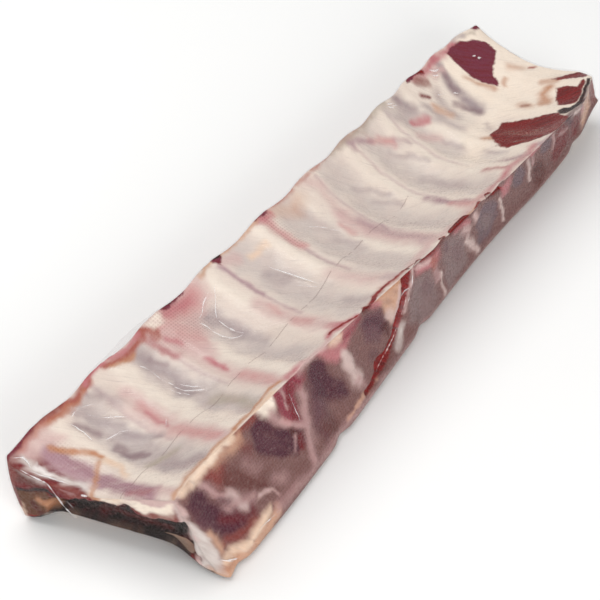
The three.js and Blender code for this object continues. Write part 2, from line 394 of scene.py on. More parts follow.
@dataclass(frozen=True)
class Grain:
    """Seeded smooth noise that is the same on every run."""

    seed: int

    def _draw(self, lattice: np.ndarray) -> np.ndarray:
        """A value from -1 to 1 for each whole-numbered lattice point.

        Args:
            lattice: Rows of whole numbers.

        Returns:
            One value for each row.
        """
        keys = np.array([73856093, 19349663, 83492791], np.int64)[: lattice.shape[1]]
        mixed = lattice @ keys + self.seed * 2654435761
        mixed = (mixed ^ (mixed >> 13)) * 1274126177
        mixed = (mixed ^ (mixed >> 15)) * 668265263
        return ((mixed ^ (mixed >> 16)) & 0xFFFF) / 32767.5 - 1.0

    def at(self, points: np.ndarray, size: float) -> np.ndarray:
        """Noise with lumps of one size.

        Args:
            points: One row of coordinates for each place, in millimetres.
            size: Size of the lumps, in millimetres.

        Returns:
            One value from -1 to 1 for each place.
        """
        scaled = points / size
        cell = np.floor(scaled).astype(np.int64)
        part = scaled - cell
        part = part * part * (3.0 - 2.0 * part)
        total = np.zeros(len(points))
        for corner in itertools.product((0, 1), repeat=points.shape[1]):
            weight = np.prod(np.where(np.array(corner) == 1, part, 1.0 - part), axis=1)
            total += weight * self._draw(cell + np.array(corner))
        return total

    def layered(self, points: np.ndarray, size: float) -> np.ndarray:
        """Noise with lumps of three sizes, each half the one before."""
        return sum(self.at(points + 37.0 * turn, size / 2**turn) / 2**turn for turn in range(3)) / 1.75


@dataclass(frozen=True)
class Mark:
    """A stroke or a filled patch of colour and relief on one side of the rack.

    Its points are millimetres along and a share across, but Y and Z in millimetres on the ends.
    """

    side: Side
    tone: Tone
    points: tuple[tuple[float, float], ...]
    width: float = 6.0
    soft: float = 3.0
    strength: float = 1.0
    fray: float = 1.6
    raised: float = 0.0
    filled: bool = False


class Painter:
    """Colours, relief and distances on the vertices of a body, worked out from marks.

    The sizes are in millimetres. The shares say how much of a mark's fray or strength the
    noises take.
    """

    fibre_lean = -48.0
    warp_size = 8.0
    mottle_size = 5.0
    fibre_size = 1.8
    fibre_stretch = (0.14, 1.0)
    warp_share = 1.6
    streak_share = 0.8
    wisp_shares = (0.3, 0.4)

    def __init__(self, side: np.ndarray, chart: np.ndarray, places: np.ndarray) -> None:
        """Keeps the vertices' places.

        Args:
            side: The number of each vertex's side.
            chart: Millimetres along and across that side.
            places: X, Y and Z of each vertex in millimetres.
        """
        self.side = side
        self.chart = chart
        self.places = places
        self.warp = np.stack([Grain(seed).layered(places, self.warp_size) for seed in (11, 12)], axis=-1)
        self.mottle = Grain(13).layered(places, self.mottle_size)
        lean = math.radians(self.fibre_lean)
        turned = chart @ np.array([[math.cos(lean), -math.sin(lean)], [math.sin(lean), math.cos(lean)]])
        self.streak = Grain(14).layered(turned * self.fibre_stretch, self.fibre_size)
        self.colour = np.zeros((len(side), 3))
        self.relief = np.zeros(len(side))

    def fill(self, side: Side, tone: Tone) -> None:
        """Gives a whole side one tone."""
        self.colour[self.side == side.number] = tone.painted

    def reach(self, mark: Mark, beyond: float) -> Pair:
        """The vertices near a mark and how far outside it each is.

        Args:
            mark: The mark.
            beyond: How far outside the mark still counts, in millimetres.

        Returns:
            The vertices' numbers, and their distances in millimetres, negative inside.
        """
        corners = np.array(mark.points, float) * (1.0, mark.side.span)
        margin = beyond + mark.width + 3.0 * mark.fray
        low, high = corners.min(axis=0) - margin, corners.max(axis=0) + margin
        near = (self.side == mark.side.number) & np.all((self.chart > low) & (self.chart < high), axis=1)
        found = np.flatnonzero(near)
        spot = self.chart[found] + self.warp_share * mark.fray * self.warp[found]
        away = np.full(len(found), 1e6)
        inside = np.zeros(len(found), bool)
        ends = np.roll(corners, -1, axis=0) if mark.filled else corners[1:]
        for start, end in zip(corners, ends):
            span = end - start
            share = np.clip((spot - start) @ span / max(span @ span, 1e-9), 0.0, 1.0)
            away = np.minimum(away, np.linalg.norm(spot - start - share[:, None] * span, axis=1))
            crosses = (start[1] > spot[:, 1]) != (end[1] > spot[:, 1])
            rise = span[1] if abs(span[1]) > 1e-9 else 1e-9
            inside ^= crosses & (spot[:, 0] < start[0] + span[0] * (spot[:, 1] - start[1]) / rise)
        if mark.filled:
            return found, np.where(inside, -away, away)
        return found, away - mark.width / 2.0

    def paint(self, marks: Iterable[Mark]) -> None:
        """Lays marks over each other, the last on top.

        Args:
            marks: The marks, the lowest first.
        """
        for mark in marks:
            found, away = self.reach(mark, mark.soft + mark.fray)
            streak = self.streak[found]
            away = away + self.streak_share * mark.fray * streak
            wisps = 1.0 + self.wisp_shares[0] * self.mottle[found] + self.wisp_shares[1] * streak
            share = np.clip(mark.strength * falling(away, -mark.soft, mark.soft) * wisps, 0.0, 1.0)
            self.colour[found] = blend(self.colour[found], np.array(mark.tone.painted), share[:, None])
            self.relief[found] += mark.raised * falling(away, -mark.soft, mark.soft)

    def depth(self, marks: Iterable[Mark], most: float = 6.0) -> np.ndarray:
        """How deep inside the nearest of some marks each vertex lies, negative outside.

        Args:
            marks: The marks.
            most: The depth beyond which it is cut off.

        Returns:
            Millimetres for each vertex.
        """
        depth = np.full(len(self.side), -most)
        for mark in marks:
            found, away = self.reach(mark, most)
            depth[found] = np.maximum(depth[found], np.clip(-away, -most, most))
        return depth


def deselect_all() -> None:
    """Leaves nothing selected, in object mode."""
    if bpy.context.object is not None and bpy.context.object.mode != "OBJECT":
        bpy.ops.object.mode_set(mode="OBJECT")
    for piece in bpy.context.selected_objects:
        piece.select_set(False)


def choose(piece: bpy.types.Object) -> None:
    """Makes one object the only selected and the active one."""
    deselect_all()
    piece.select_set(True)
    bpy.context.view_layer.objects.active = piece


def coordinates(mesh: bpy.types.Mesh) -> np.ndarray:
    """The mesh's vertices as rows of X, Y and Z."""
    values = np.zeros(len(mesh.vertices) * 3)
    mesh.vertices.foreach_get("co", values)
    return values.reshape(-1, 3)


def normals(mesh: bpy.types.Mesh) -> np.ndarray:
    """The mesh's vertex normals as rows of X, Y and Z."""
    values = np.zeros(len(mesh.vertices) * 3)
    mesh.vertex_normals.foreach_get("vector", values)
    return values.reshape(-1, 3)


def move_vertices(mesh: bpy.types.Mesh, places: np.ndarray) -> None:
    """Puts the mesh's vertices in new places."""
    mesh.vertices.foreach_set("co", places.astype(np.float32).ravel())
    mesh.update()


def apply_modifier(piece: bpy.types.Object, kind: str, **settings: object) -> None:
    """Adds a modifier and applies it.

    Args:
        piece: The object.
        kind: The modifier's type.
        settings: Its properties.
    """
    modifier = piece.modifiers.new(kind.title(), kind)
    for name, value in settings.items():
        setattr(modifier, name, value)
    choose(piece)
    bpy.ops.object.modifier_apply(modifier=modifier.name)


@dataclass(frozen=True)
class CutBox:
    """A closed box one unit each way, cut finely along its axes, ready to be shaped.

    Each axis has one or two numbers of parts, because one subdivision makes at most 101.
    """

    along: tuple[int, ...] = (20, 20)
    across: tuple[int, ...] = (92,)
    up: tuple[int, ...] = (54,)
    underside_step: int = 4

    def _select_edges(self, piece: bpy.types.Object, axis: int, underside: bool) -> None:
        """Selects the edges that run along an axis, or those to dissolve on the underside.

        Args:
            piece: The box.
            axis: The number of the axis.
            underside: Whether to choose only surplus edges of the underside.
        """
        places = coordinates(piece.data)
        pairs = np.zeros(len(piece.data.edges) * 2, np.int32)
        piece.data.edges.foreach_get("vertices", pairs)
        start, end = places[pairs[0::2]], places[pairs[1::2]]
        chosen = np.abs(end - start)[:, axis] > 1e-6
        if underside:
            row = np.round(start[:, 1] * math.prod(self.across)).astype(int)
            chosen &= (start[:, 2] < 1e-6) & (end[:, 2] < 1e-6) & (row % self.underside_step != 0)
        choose(piece)
        bpy.context.tool_settings.mesh_select_mode = (False, True, False)
        bpy.ops.object.mode_set(mode="EDIT")
        bpy.ops.mesh.select_all(action="DESELECT")
        bpy.ops.object.mode_set(mode="OBJECT")
        piece.data.edges.foreach_set("select", chosen)
        bpy.ops.object.mode_set(mode="EDIT")

    def build(self, name: str) -> bpy.types.Object:
        """Makes the box.

        Args:
            name: The piece's name.

        Returns:
            The object, with its vertices at shares from 0 to 1.
        """
        deselect_all()
        bpy.ops.mesh.primitive_cube_add(size=1.0, location=(0.5, 0.5, 0.5))
        piece = bpy.context.object
        piece.name = piece.data.name = name
        bpy.ops.object.transform_apply(location=True)
        for axis, parts in enumerate((self.along, self.across, self.up)):
            for count in parts:
                self._select_edges(piece, axis, underside=False)
                bpy.ops.mesh.subdivide(number_cuts=count - 1, smoothness=0.0)
                bpy.ops.object.mode_set(mode="OBJECT")
        self._select_edges(piece, 0, underside=True)
        bpy.ops.mesh.dissolve_edges(use_verts=True)
        bpy.ops.object.mode_set(mode="OBJECT")
        return piece


@dataclass
class ShapedBody:
    """A closed body with the rack's form, and where each of its vertices lies."""

    name: str
    form: RackForm
    cuts: CutBox
    smoothing: int
    end_shift: float = 60.0
    end_cuts: float = 3.5
    piece: Optional[bpy.types.Object] = None
    side: np.ndarray = field(default_factory=lambda: np.zeros(0, int))
    chart: np.ndarray = field(default_factory=lambda: np.zeros((0, 2)))
    places: np.ndarray = field(default_factory=lambda: np.zeros((0, 3)))

    def shape(self) -> "ShapedBody":
        """Builds the box, gives it the rack's form and rounds its long edges."""
        self.piece = self.cuts.build(self.name)
        mesh = self.piece.data
        shares = coordinates(mesh)
        form = self.form
        knots = (0.0, 0.02, 0.98, 1.0)
        first, last = form.loin_end, form.shoulder_end
        ends = (first, first + self.end_cuts, last - self.end_cuts, last)
        station = np.interp(shares[:, 0], knots, ends)
        move_vertices(mesh, form.point(station, shares[:, 1], shares[:, 2]))
        apply_modifier(self.piece, "SMOOTH", factor=0.5, iterations=self.smoothing)
        mesh = self.piece.data
        self.places = coordinates(mesh)
        self._chart(shares)
        choose(self.piece)
        bpy.ops.object.shade_smooth()
        return self

    def _chart(self, shares: np.ndarray) -> None:
        """Finds each vertex's side, and its place on that side in millimetres.

        Args:
            shares: Each vertex's place in the box, from 0 to 1.
        """
        x, y, z = self.places.T
        form = self.form
        near, far = shares < 1e-5, shares > 1.0 - 1e-5
        self.side = np.select(
            [far[:, 2], near[:, 1], far[:, 1], near[:, 2], near[:, 0]],
            [Side.TROUGH.number, Side.SAWN_FACE.number, Side.RIB_SIDE.number,
             Side.UNDERSIDE.number, Side.LOIN_END.number],
            Side.SHOULDER_END.number,
        )
        ridge_y, ridge_z = form.ridge(x)
        edge_y, edge_z = form.rib_edge(x)
        foot_y, foot_z = form.backbone_foot(x)
        rib_foot_y = form.rib_foot(x)[0]
        across = {
            Side.TROUGH: (y - ridge_y) / (edge_y - ridge_y),
            Side.SAWN_FACE: (z - foot_z) / (ridge_z - foot_z),
            Side.RIB_SIDE: (z - foot_z) / (edge_z - foot_z),
            Side.UNDERSIDE: (y - foot_y) / (rib_foot_y - foot_y),
        }
        self.chart = np.stack([y, z], axis=-1)
        for side, share in across.items():
            found = self.side == side.number
            self.chart[found] = np.stack([x, share * side.span], axis=-1)[found]

    def girth(self) -> np.ndarray:
        """Millimetres round the cross section, 0 at the ridge and growing over the trough.

        Returns:
            Millimetres for each vertex.
        """
        away = self.chart[:, 1]
        long_sides = (Side.TROUGH, Side.SAWN_FACE, Side.RIB_SIDE, Side.UNDERSIDE)
        return np.select(
            [self.side == side.number for side in long_sides],
            [away, away - Side.SAWN_FACE.span, Side.TROUGH.span + Side.RIB_SIDE.span - away,
             -Side.SAWN_FACE.span - away],
            self.places[:, 1] + self.end_shift,
        )

    def settle(self, offset: np.ndarray) -> None:
        """Puts the shaped vertices into the part's frame, in metres.

        Args:
            offset: From the form's frame to the part's frame, in millimetres.
        """
        move_vertices(self.piece.data, (self.places + offset) * MILLIMETRE)

    def swell(self, relief: np.ndarray) -> None:
        """Moves each vertex outwards by its relief in millimetres."""
        move_vertices(self.piece.data, self.places)
        self.places = self.places + relief[:, None] * normals(self.piece.data)

    def write(self, name: str, kind: str, values: np.ndarray) -> None:
        """Stores values on the vertices.

        Args:
            name: The attribute's name.
            kind: FLOAT, FLOAT_VECTOR or FLOAT_COLOR.
            values: One number or row for each vertex.
        """
        slots = {"FLOAT": "value", "FLOAT_VECTOR": "vector", "FLOAT_COLOR": "color"}
        attribute = self.piece.data.attributes.new(name, kind, "POINT")
        attribute.data.foreach_set(slots[kind], np.ascontiguousarray(values, np.float32).ravel())


Feed = Union["Value", float, Sequence[float], str]


class Value:
    """A socket that takes part in expressions: each operator adds a Math node."""

    def __init__(self, board: "Board", socket: bpy.types.NodeSocket) -> None:
        """Wraps a node's output socket."""
        self.board = board
        self.socket = socket

    def __add__(self, other: Feed) -> "Value":
        """The sum."""
        return self.board.math("ADD", self, other)

    __radd__ = __add__

    def __mul__(self, other: Feed) -> "Value":
        """The product."""
        return self.board.math("MULTIPLY", self, other)

    __rmul__ = __mul__

    def __sub__(self, other: Feed) -> "Value":
        """The difference."""
        return self.board.math("SUBTRACT", self, other)

    def __rsub__(self, other: Feed) -> "Value":
        """The difference, from a number."""
        return self.board.math("SUBTRACT", other, self)

    def sine(self) -> "Value":
        """Its sine, in radians."""
        return self.board.math("SINE", self)

    def step(self, start: float, end: float) -> "Value":
        """Runs smoothly from 0 at the start to 1 at the end."""
        return self.board.one(
            "ShaderNodeMapRange", {"interpolation_type": "SMOOTHSTEP"},
            {"Value": self, "From Min": start, "From Max": end},
        )


class Board:
    """The node tree of one material."""

    def __init__(self, name: str) -> None:
        """Makes an empty material with an output."""
        self.material = bpy.data.materials.new(name)
        self.material.use_nodes = True
        self.tree = self.material.node_tree
        self.tree.nodes.clear()

    def node(self, kind: str, settings: Optional[dict] = None,
             feeds: Optional[dict] = None) -> bpy.types.Node:
        """Adds any node.

        Args:
            kind: The node's type.
            settings: Its properties, which are set first.
            feeds: Values or links for its input sockets, by name or number.

        Returns:
            The node.
        """
        node = self.tree.nodes.new(kind)
        for name, value in (settings or {}).items():
            setattr(node, name, value)
        for key, feed in (feeds or {}).items():
            if isinstance(feed, Value):
                self.tree.links.new(feed.socket, node.inputs[key])
            elif hasattr(node.inputs[key].default_value, "__len__") and len(feed) == 3:
                size = len(node.inputs[key].default_value)
                node.inputs[key].default_value = (*feed, 1.0)[:size]
            else:
                node.inputs[key].default_value = feed
        return node

    def one(self, kind: str, settings: Optional[dict] = None, feeds: Optional[dict] = None,
            output: Union[int, str] = 0) -> Value:
        """Adds a node and gives one of its outputs."""
        return Value(self, self.node(kind, settings, feeds).outputs[output])

    def math(self, operation: str, *feeds: Feed) -> Value:
        """Adds a Math node."""
        return self.one("ShaderNodeMath", {"operation": operation}, dict(enumerate(feeds)))

    def mix(self, factor: Feed, first: Feed, second: Feed, how: str = "MIX") -> Value:
        """Mixes two colours."""
        settings = {"data_type": "RGBA", "blend_type": how, "clamp_factor": True}
        return self.one("ShaderNodeMix", settings, {0: factor, 6: first, 7: second}, output=2)

    def attribute(self, name: str, output: str = "Fac") -> Value:
        """Reads an attribute that is stored on the mesh."""
        return self.one("ShaderNodeAttribute", {"attribute_name": name}, output=output)

    def noise(self, place: Value, scale: float, detail: float = 3.0, rough: float = 0.55) -> Value:
        """Noise from 0 to 1."""
        feeds = {"Vector": place, "Scale": scale, "Detail": detail, "Roughness": rough}
        return self.one("ShaderNodeTexNoise", None, feeds)

    def stretched(self, place: Value, turn: float, size: tuple[float, float, float]) -> Value:
        """Turns a place about Z by degrees and divides it by a size."""
        feeds = {"Vector": place, "Rotation": (0.0, 0.0, math.radians(turn)), "Scale": size}
        return self.one("ShaderNodeMapping", {"vector_type": "TEXTURE"}, feeds)

    def finish(self, feeds: dict) -> bpy.types.Material:
        """Ends the material in a Principled shader."""
        shader = self.one("ShaderNodeBsdfPrincipled", None, feeds)
        self.node("ShaderNodeOutputMaterial", None, {"Surface": shader})
        return self.material


@dataclass(frozen=True)
class Ink:
    """A colour whose edge is drawn crisply, by the depth stored in an attribute."""

    name: str
    tone: Tone
    streaks: Tone
    edge: float
    jag: float
    marks: tuple[Mark, ...]

    @property
    def attribute(self) -> str:
        """The attribute's name."""
        return f"ink_{self.name}"


@dataclass(frozen=True)
class Crease:
    """A raised fold of film on one side of the rack, through places as in a mark."""

    side: Side
    points: tuple[tuple[float, float], ...]
    radius: float
    beads: float = 0.0


FILLED = "filled"


@dataclass(frozen=True)
class Brush:
    """Makes the marks and folds of one side of the rack."""

    side: Side

    def stroke(self, tone: Tone, *points: tuple[float, float], **rest: float) -> Mark:
        """A stroke through points."""
        return Mark(self.side, tone, points, **rest)

    def patch(self, tone: Tone, *points: tuple[float, float], **rest: float) -> Mark:
        """A filled patch with points as its corners."""
        return Mark(self.side, tone, points, filled=True, **rest)

    def rows(self, *rows: tuple) -> list[Mark]:
        """Several marks, each a row of values without words.

        Args:
            rows: A tone, a stroke's width or FILLED for a patch, the softness of the edge and
                the strength; then the fray, and after it the relief, where they aren't the
                usual ones; and then the points.

        Returns:
            One mark for each row, in the same order.
        """
        marks = []
        for tone, width, *rest in rows:
            points = tuple(item for item in rest if isinstance(item, tuple))
            numbers = (item for item in rest if not isinstance(item, tuple))
            words = dict(zip(("soft", "strength", "fray", "raised"), numbers))
            if width == FILLED:
                marks.append(self.patch(tone, *points, **words))
            else:
                marks.append(self.stroke(tone, *points, width=width, **words))
        return marks

    def fold(self, radius: float, *points: tuple[float, float], beads: float = 0.0) -> Crease:
        """A fold of film through points."""
        return Crease(self.side, points, radius, beads)


TROUGH = Brush(Side.TROUGH)
FACE = Brush(Side.SAWN_FACE)
RIM = Brush(Side.RIB_SIDE)
UNDER = Brush(Side.UNDERSIDE)
LOIN = Brush(Side.LOIN_END)
SHOULDER = Brush(Side.SHOULDER_END)


def membrane_marks() -> list[Mark]:
    """The bands that cross the trough: grey meat between the ribs, cream on them, and thin mauve lines of
    painted shade beside them.

    Returns:
        The marks, the lowest first.
    """
    grey_bands = ((-169, 17, 0.9), (-127, 14, 0.8), (-88, 13, 0.6), (-45, 22, 0.4), (-5, 22, 0.35),
                  (37, 20, 0.3), (73, 18, 0.35), (103, 10, 0.3))
    cream_bands = ((-184, 6), (-141, 11), (-101, 7), (-69, 8), (-27, 9), (7, 5), (55, 8), (88, 7), (112, 6))
    rib_shadows = ((-158, 0.5), (-117, 0.5), (-59, 0.75), (-19.5, 0.75), (25, 0.5), (60, 0.5), (92, 0.5))
    marks = []
    for x, width, strength in grey_bands:
        marks.append(TROUGH.stroke(Tone.PALE_GREY, (x - 1, 0.06), (x, 0.5), (x + 1, 0.95), width=width,
                                   soft=6, strength=0.3 + strength / 2, fray=3))
        marks.append(TROUGH.stroke(Tone.GREY, (x - 1, 0.1), (x, 0.5), (x + 1, 0.92), width=0.7 * width,
                                   soft=5, strength=strength, fray=4, raised=-0.5))
    for x, width in cream_bands:
        marks.append(TROUGH.stroke(Tone.PALE_CREAM, (x, 0.07), (x + 1, 0.5), (x, 0.93), width=width,
                                   soft=3.4, strength=0.85, fray=2, raised=0.35))
    # Thin mauve lines along each rib: painted shade on the rib's shaded side
    for x, strength in rib_shadows:
        marks.append(TROUGH.stroke(Tone.MAUVE, (x - 1, 0.35), (x, 0.65), (x + 0.6, 0.95), width=1.6,
                                   soft=1.5, strength=strength, fray=1.0, raised=-0.3))
    return marks


def rib_band_marks() -> list[Mark]:
    """Pink meat along the ribs and threads in the grey meat between them.

    Returns:
        The marks, the lowest first.
    """
    return TROUGH.rows(
        # Pink bands that cross the trough with the ribs
        (Tone.BLUSH, 11, 4, 0.8, (-150, 0.75), (-153, 0.4), (-152, 0.05)),
        (Tone.PINK, 4.5, 2.4, 0.9, (-150.5, 0.67), (-152, 0.5)),
        (Tone.PINK, 6.5, 2.6, 0.9, (-153, 0.38), (-154, 0.24), (-152, 0.1)),
        (Tone.ROSE, 1.6, 1.4, 0.7, (-152, 0.62), (-152.6, 0.44)),
        (Tone.BLUSH, 9, 4, 0.7, (-110, 0.7), (-111, 0.35), (-110, 0.06)),
        (Tone.ROSE, 3.4, 1.8, 0.9, (-109, 0.58), (-110, 0.44)),
        (Tone.PINK, 6, 3, 0.8, (-109, 0.32), (-110, 0.06)),
        (Tone.BLUSH, 9, 4, 0.75, (-66, 0.6), (-66, 0.08)),
        (Tone.PINK, 3, 2.2, 0.7, (-64, 0.54), (-66, 0.46)),
        (Tone.PINK, 5, 2.6, 0.8, (-67, 0.34), (-66, 0.24)),
        (Tone.ROSE, 5, 2.6, 0.8, (-66, 0.1), (-64, 0.03)),
        (Tone.BLUSH, 9, 5, 0.7, (-27, 0.42), (-24, 0.06)),
        (Tone.MAUVE, 5, 3, 0.6, (-21, 0.1), (-18, 0.04)),
        (Tone.PINK, 3.4, 2.2, 0.8, (10, 0.66), (11, 0.56)),
        (Tone.BLUSH, 10, 4, 0.9, (17, 0.7), (18, 0.3), (16, 0.08)),
        (Tone.MAUVE, 6, 3.4, 0.55, (21, 0.6), (19, 0.3), (16, 0.1)),
        (Tone.MAUVE, 2, 1.6, 0.8, (24, 0.48), (22, 0.42)),
        (Tone.MAUVE, 5, 2.4, 0.95, (56, 0.4), (55, 0.28), (53, 0.1)),
        (Tone.PINK, 5, 3, 0.8, (53, 0.2), (51, 0.08)),
        (Tone.PINK, 3.6, 2, 0.9, (72, 0.93), (77, 0.88), (82, 0.82)),
        (Tone.MAUVE, 3, 2, 0.8, (58, 0.97), (66, 0.95), (73, 0.92)),
        (Tone.MAUVE, 3, 2.4, 0.6, (84, 0.82), (88, 0.74)),
        (Tone.MAUVE, 4, 2.4, 0.7, (59, 0.99), (59, 0.94)),
        (Tone.BLUSH, 7, 4, 0.6, (17, 0.97), (23, 0.9), (21, 0.8)),
        (Tone.DEEP_PINK, 3.4, 2.2, 0.8, (86, 0.2), (88, 0.08)),
        (Tone.MAUVE, 7, 3, 0.9, (100, 0.18), (102, 0.08)),
        # Threads in the grey meat near the loin end
        (Tone.DARK_LILAC, 3.4, 2, 0.75, (-178, 0.88), (-176, 0.8), (-174, 0.74)),
        (Tone.LILAC_GREY, 5, 3, 0.7, (-172, 0.9), (-168, 0.8), (-163, 0.68)),
        (Tone.DARK_LILAC, 3.6, 1.8, 0.8, (-174, 0.6), (-174, 0.5), (-172, 0.42)),
        (Tone.LILAC_GREY, 4, 2.4, 0.8, (-167, 0.62), (-162, 0.52), (-159, 0.44)),
        (Tone.DARK_LILAC, 3, 2, 0.5, (-163, 0.93), (-159, 0.86)),
        (Tone.LILAC_GREY, 4, 3, 0.5, (-158, 0.9), (-156, 0.76)),
        (Tone.LILAC_GREY, 9, 5, 0.6, (-173, 0.26), (-169, 0.06)),
        (Tone.OLIVE_GREY, 3, 2, 0.9, (-177, 0.34), (-171, 0.32), (-165, 0.28)),
        (Tone.LILAC_GREY, 7, 4, 0.75, (-129, 0.9), (-127, 0.72), (-129, 0.52)),
        (Tone.DARK_LILAC, 2.6, 2, 0.6, (-126, 0.84), (-123, 0.74)),
        (Tone.OLIVE_GREY, 6, 3, 0.8, (-127, 0.36), (-125, 0.24), (-127, 0.06)),
        (Tone.LILAC_GREY, 6, 3.4, 0.85, (-86, 0.8), (-84, 0.56)),
        (Tone.LILAC_GREY, 7, 4, 0.6, (-84, 0.52), (-83, 0.4)),
        (Tone.GREY, 7, 4, 0.5, (-87, 0.2), (-82, 0.1)),
        (Tone.LILAC_GREY, 6, 3.4, 0.6, (-45, 0.72), (-42, 0.62)),
        (Tone.LILAC_GREY, 5, 3, 0.5, (-42, 0.2), (-39, 0.08)),
        (Tone.GREY, 6, 4, 0.6, (2, 0.86), (5, 0.7), (2, 0.46)),
        (Tone.GREY, 3, 2.4, 0.8, (-2, 0.62), (6, 0.5)),
        (Tone.GREY, 3, 2, 0.8, (38, 0.8), (47, 0.72), (50, 0.62)),
        (Tone.GREY, 3.4, 2.4, 0.8, (42, 0.66), (48, 0.52)),
        (Tone.GREY, 6, 4, 0.5, (34, 0.36), (37, 0.2)),
        (Tone.GREY, 6, 3.4, 0.8, (74, 0.54), (75, 0.4), (73, 0.26)),
        (Tone.GREY, 2.6, 2, 0.8, (76, 0.8), (82, 0.7), (86, 0.58)),
        (Tone.GREY, 4, 3, 0.8, (104, 0.9), (112, 0.8), (118, 0.68), (121, 0.58)),
        (Tone.LILAC_GREY, 3, 2.4, 0.7, (116, 0.84), (120, 0.72)),
        (Tone.GREY, 2.6, 1.8, 0.95, (106, 0.62), (108, 0.46), (108, 0.2)),
        (Tone.OLIVE_GREY, 2, 1.6, 0.7, (110, 0.5), (110, 0.38)),
        (Tone.GREY, 7, 4, 0.8, (94, 0.94), (100, 0.86)),
        (Tone.LILAC_GREY, 6, 3, 0.9, (106, 0.97), (110, 0.88)),
    )


def shoulder_marks() -> list[Mark]:
    """Fat, lean and small spots in the trough of the shoulder end.

    Returns:
        The marks, the lowest first.
    """
    return TROUGH.rows(
        (Tone.FAT, FILLED, 5, 1, 3, (143, 0.0), (205, 0.0), (205, 1.0), (150, 1.0), (146, 0.8), (142, 0.5)),
        (Tone.FAT, 13, 5, 0.8, 3, (97, 0.36), (122, 0.5), (136, 0.5)),
        (Tone.PALE_CREAM, 8, 4, 0.8, (95, 0.36), (100, 0.24), (108, 0.12)),
        (Tone.LILAC_GREY, 6, 3, 1, (147, 0.93), (143, 0.84), (140, 0.72), (139.6, 0.6)),
        (Tone.DARK_LILAC, 3.4, 2.4, 0.8, (145, 0.9), (142, 0.82), (141, 0.77)),
        (Tone.DARK_LILAC, 3, 2, 0.9, (133.4, 0.73), (136, 0.66), (138.6, 0.58)),
        (Tone.LILAC_GREY, 4, 3, 0.6, (131, 0.86), (127, 0.78), (126, 0.66)),
        (Tone.LILAC_GREY, 3, 2.4, 0.5, (132, 0.5), (128, 0.44)),
        (Tone.BROWN_RED, 2.6, 1.3, 1, 0.7, (121, 0.88), (124, 0.855)),
        (Tone.ROSE, 4.4, 1.8, 0.9, (104, 0.83), (108, 0.79), (111, 0.77)),
        (Tone.TAN, 4, 2.6, 0.8, (122, 0.79), (124, 0.7)),
        (Tone.BLUSH, 5, 3, 0.8, (99, 0.73), (106, 0.66)),
        (Tone.BROWN_RED, 2.8, 1.2, 1, 0.6, (151.6, 0.37), (152.6, 0.345)),
        (Tone.TAN, 5, 2.4, 0.6, (152, 0.39), (152, 0.33)),
        (Tone.RED_TAN, 2.4, 1.2, 1, (184.6, 0.52), (185.6, 0.49)),
        (Tone.TAN, 5, 3, 0.6, (177, 0.62), (181, 0.56)),
        (Tone.ORANGE_TAN, 6, 3, 0.8, (159, 0.26), (165, 0.3), (171, 0.27)),
        (Tone.TAN, 5, 2.6, 0.8, (157, 0.27), (158, 0.24)),
        (Tone.TAN, 4, 2.4, 0.8, (174, 0.34), (178, 0.26)),
        (Tone.TAN, 3.4, 2.2, 0.8, (154, 0.78), (155, 0.7), (158, 0.61)),
        (Tone.TAN, 2.6, 1.6, 0.9, (164, 0.57), (169, 0.58)),
        (Tone.TAN, 4, 2, 0.9, (117, 0.41), (119, 0.36)),
        (Tone.OLIVE_GREY, 8, 5, 0.35, (190, 0.93), (193, 0.8)),
        (Tone.OLIVE_GREY, 3, 1.6, 0.6, (176, 0.99), (182, 0.96)),
        (Tone.ROSE, 4.4, 2, 0.95, (126, 0.99), (136, 0.975), (148, 0.97)),
        (Tone.RED_BROWN, 4, 1.8, 0.9, (126, 0.955), (130, 0.93)),
        (Tone.ROSE, 5, 2.4, 0.95, (146, 0.985), (154, 0.975), (166, 0.98)),
        (Tone.BLUSH, 5, 2.6, 0.8, (140, 0.93), (146, 0.9)),
        (Tone.GREY, 3, 1.6, 0.8, (168, 1.0), (176, 0.99)),
    )


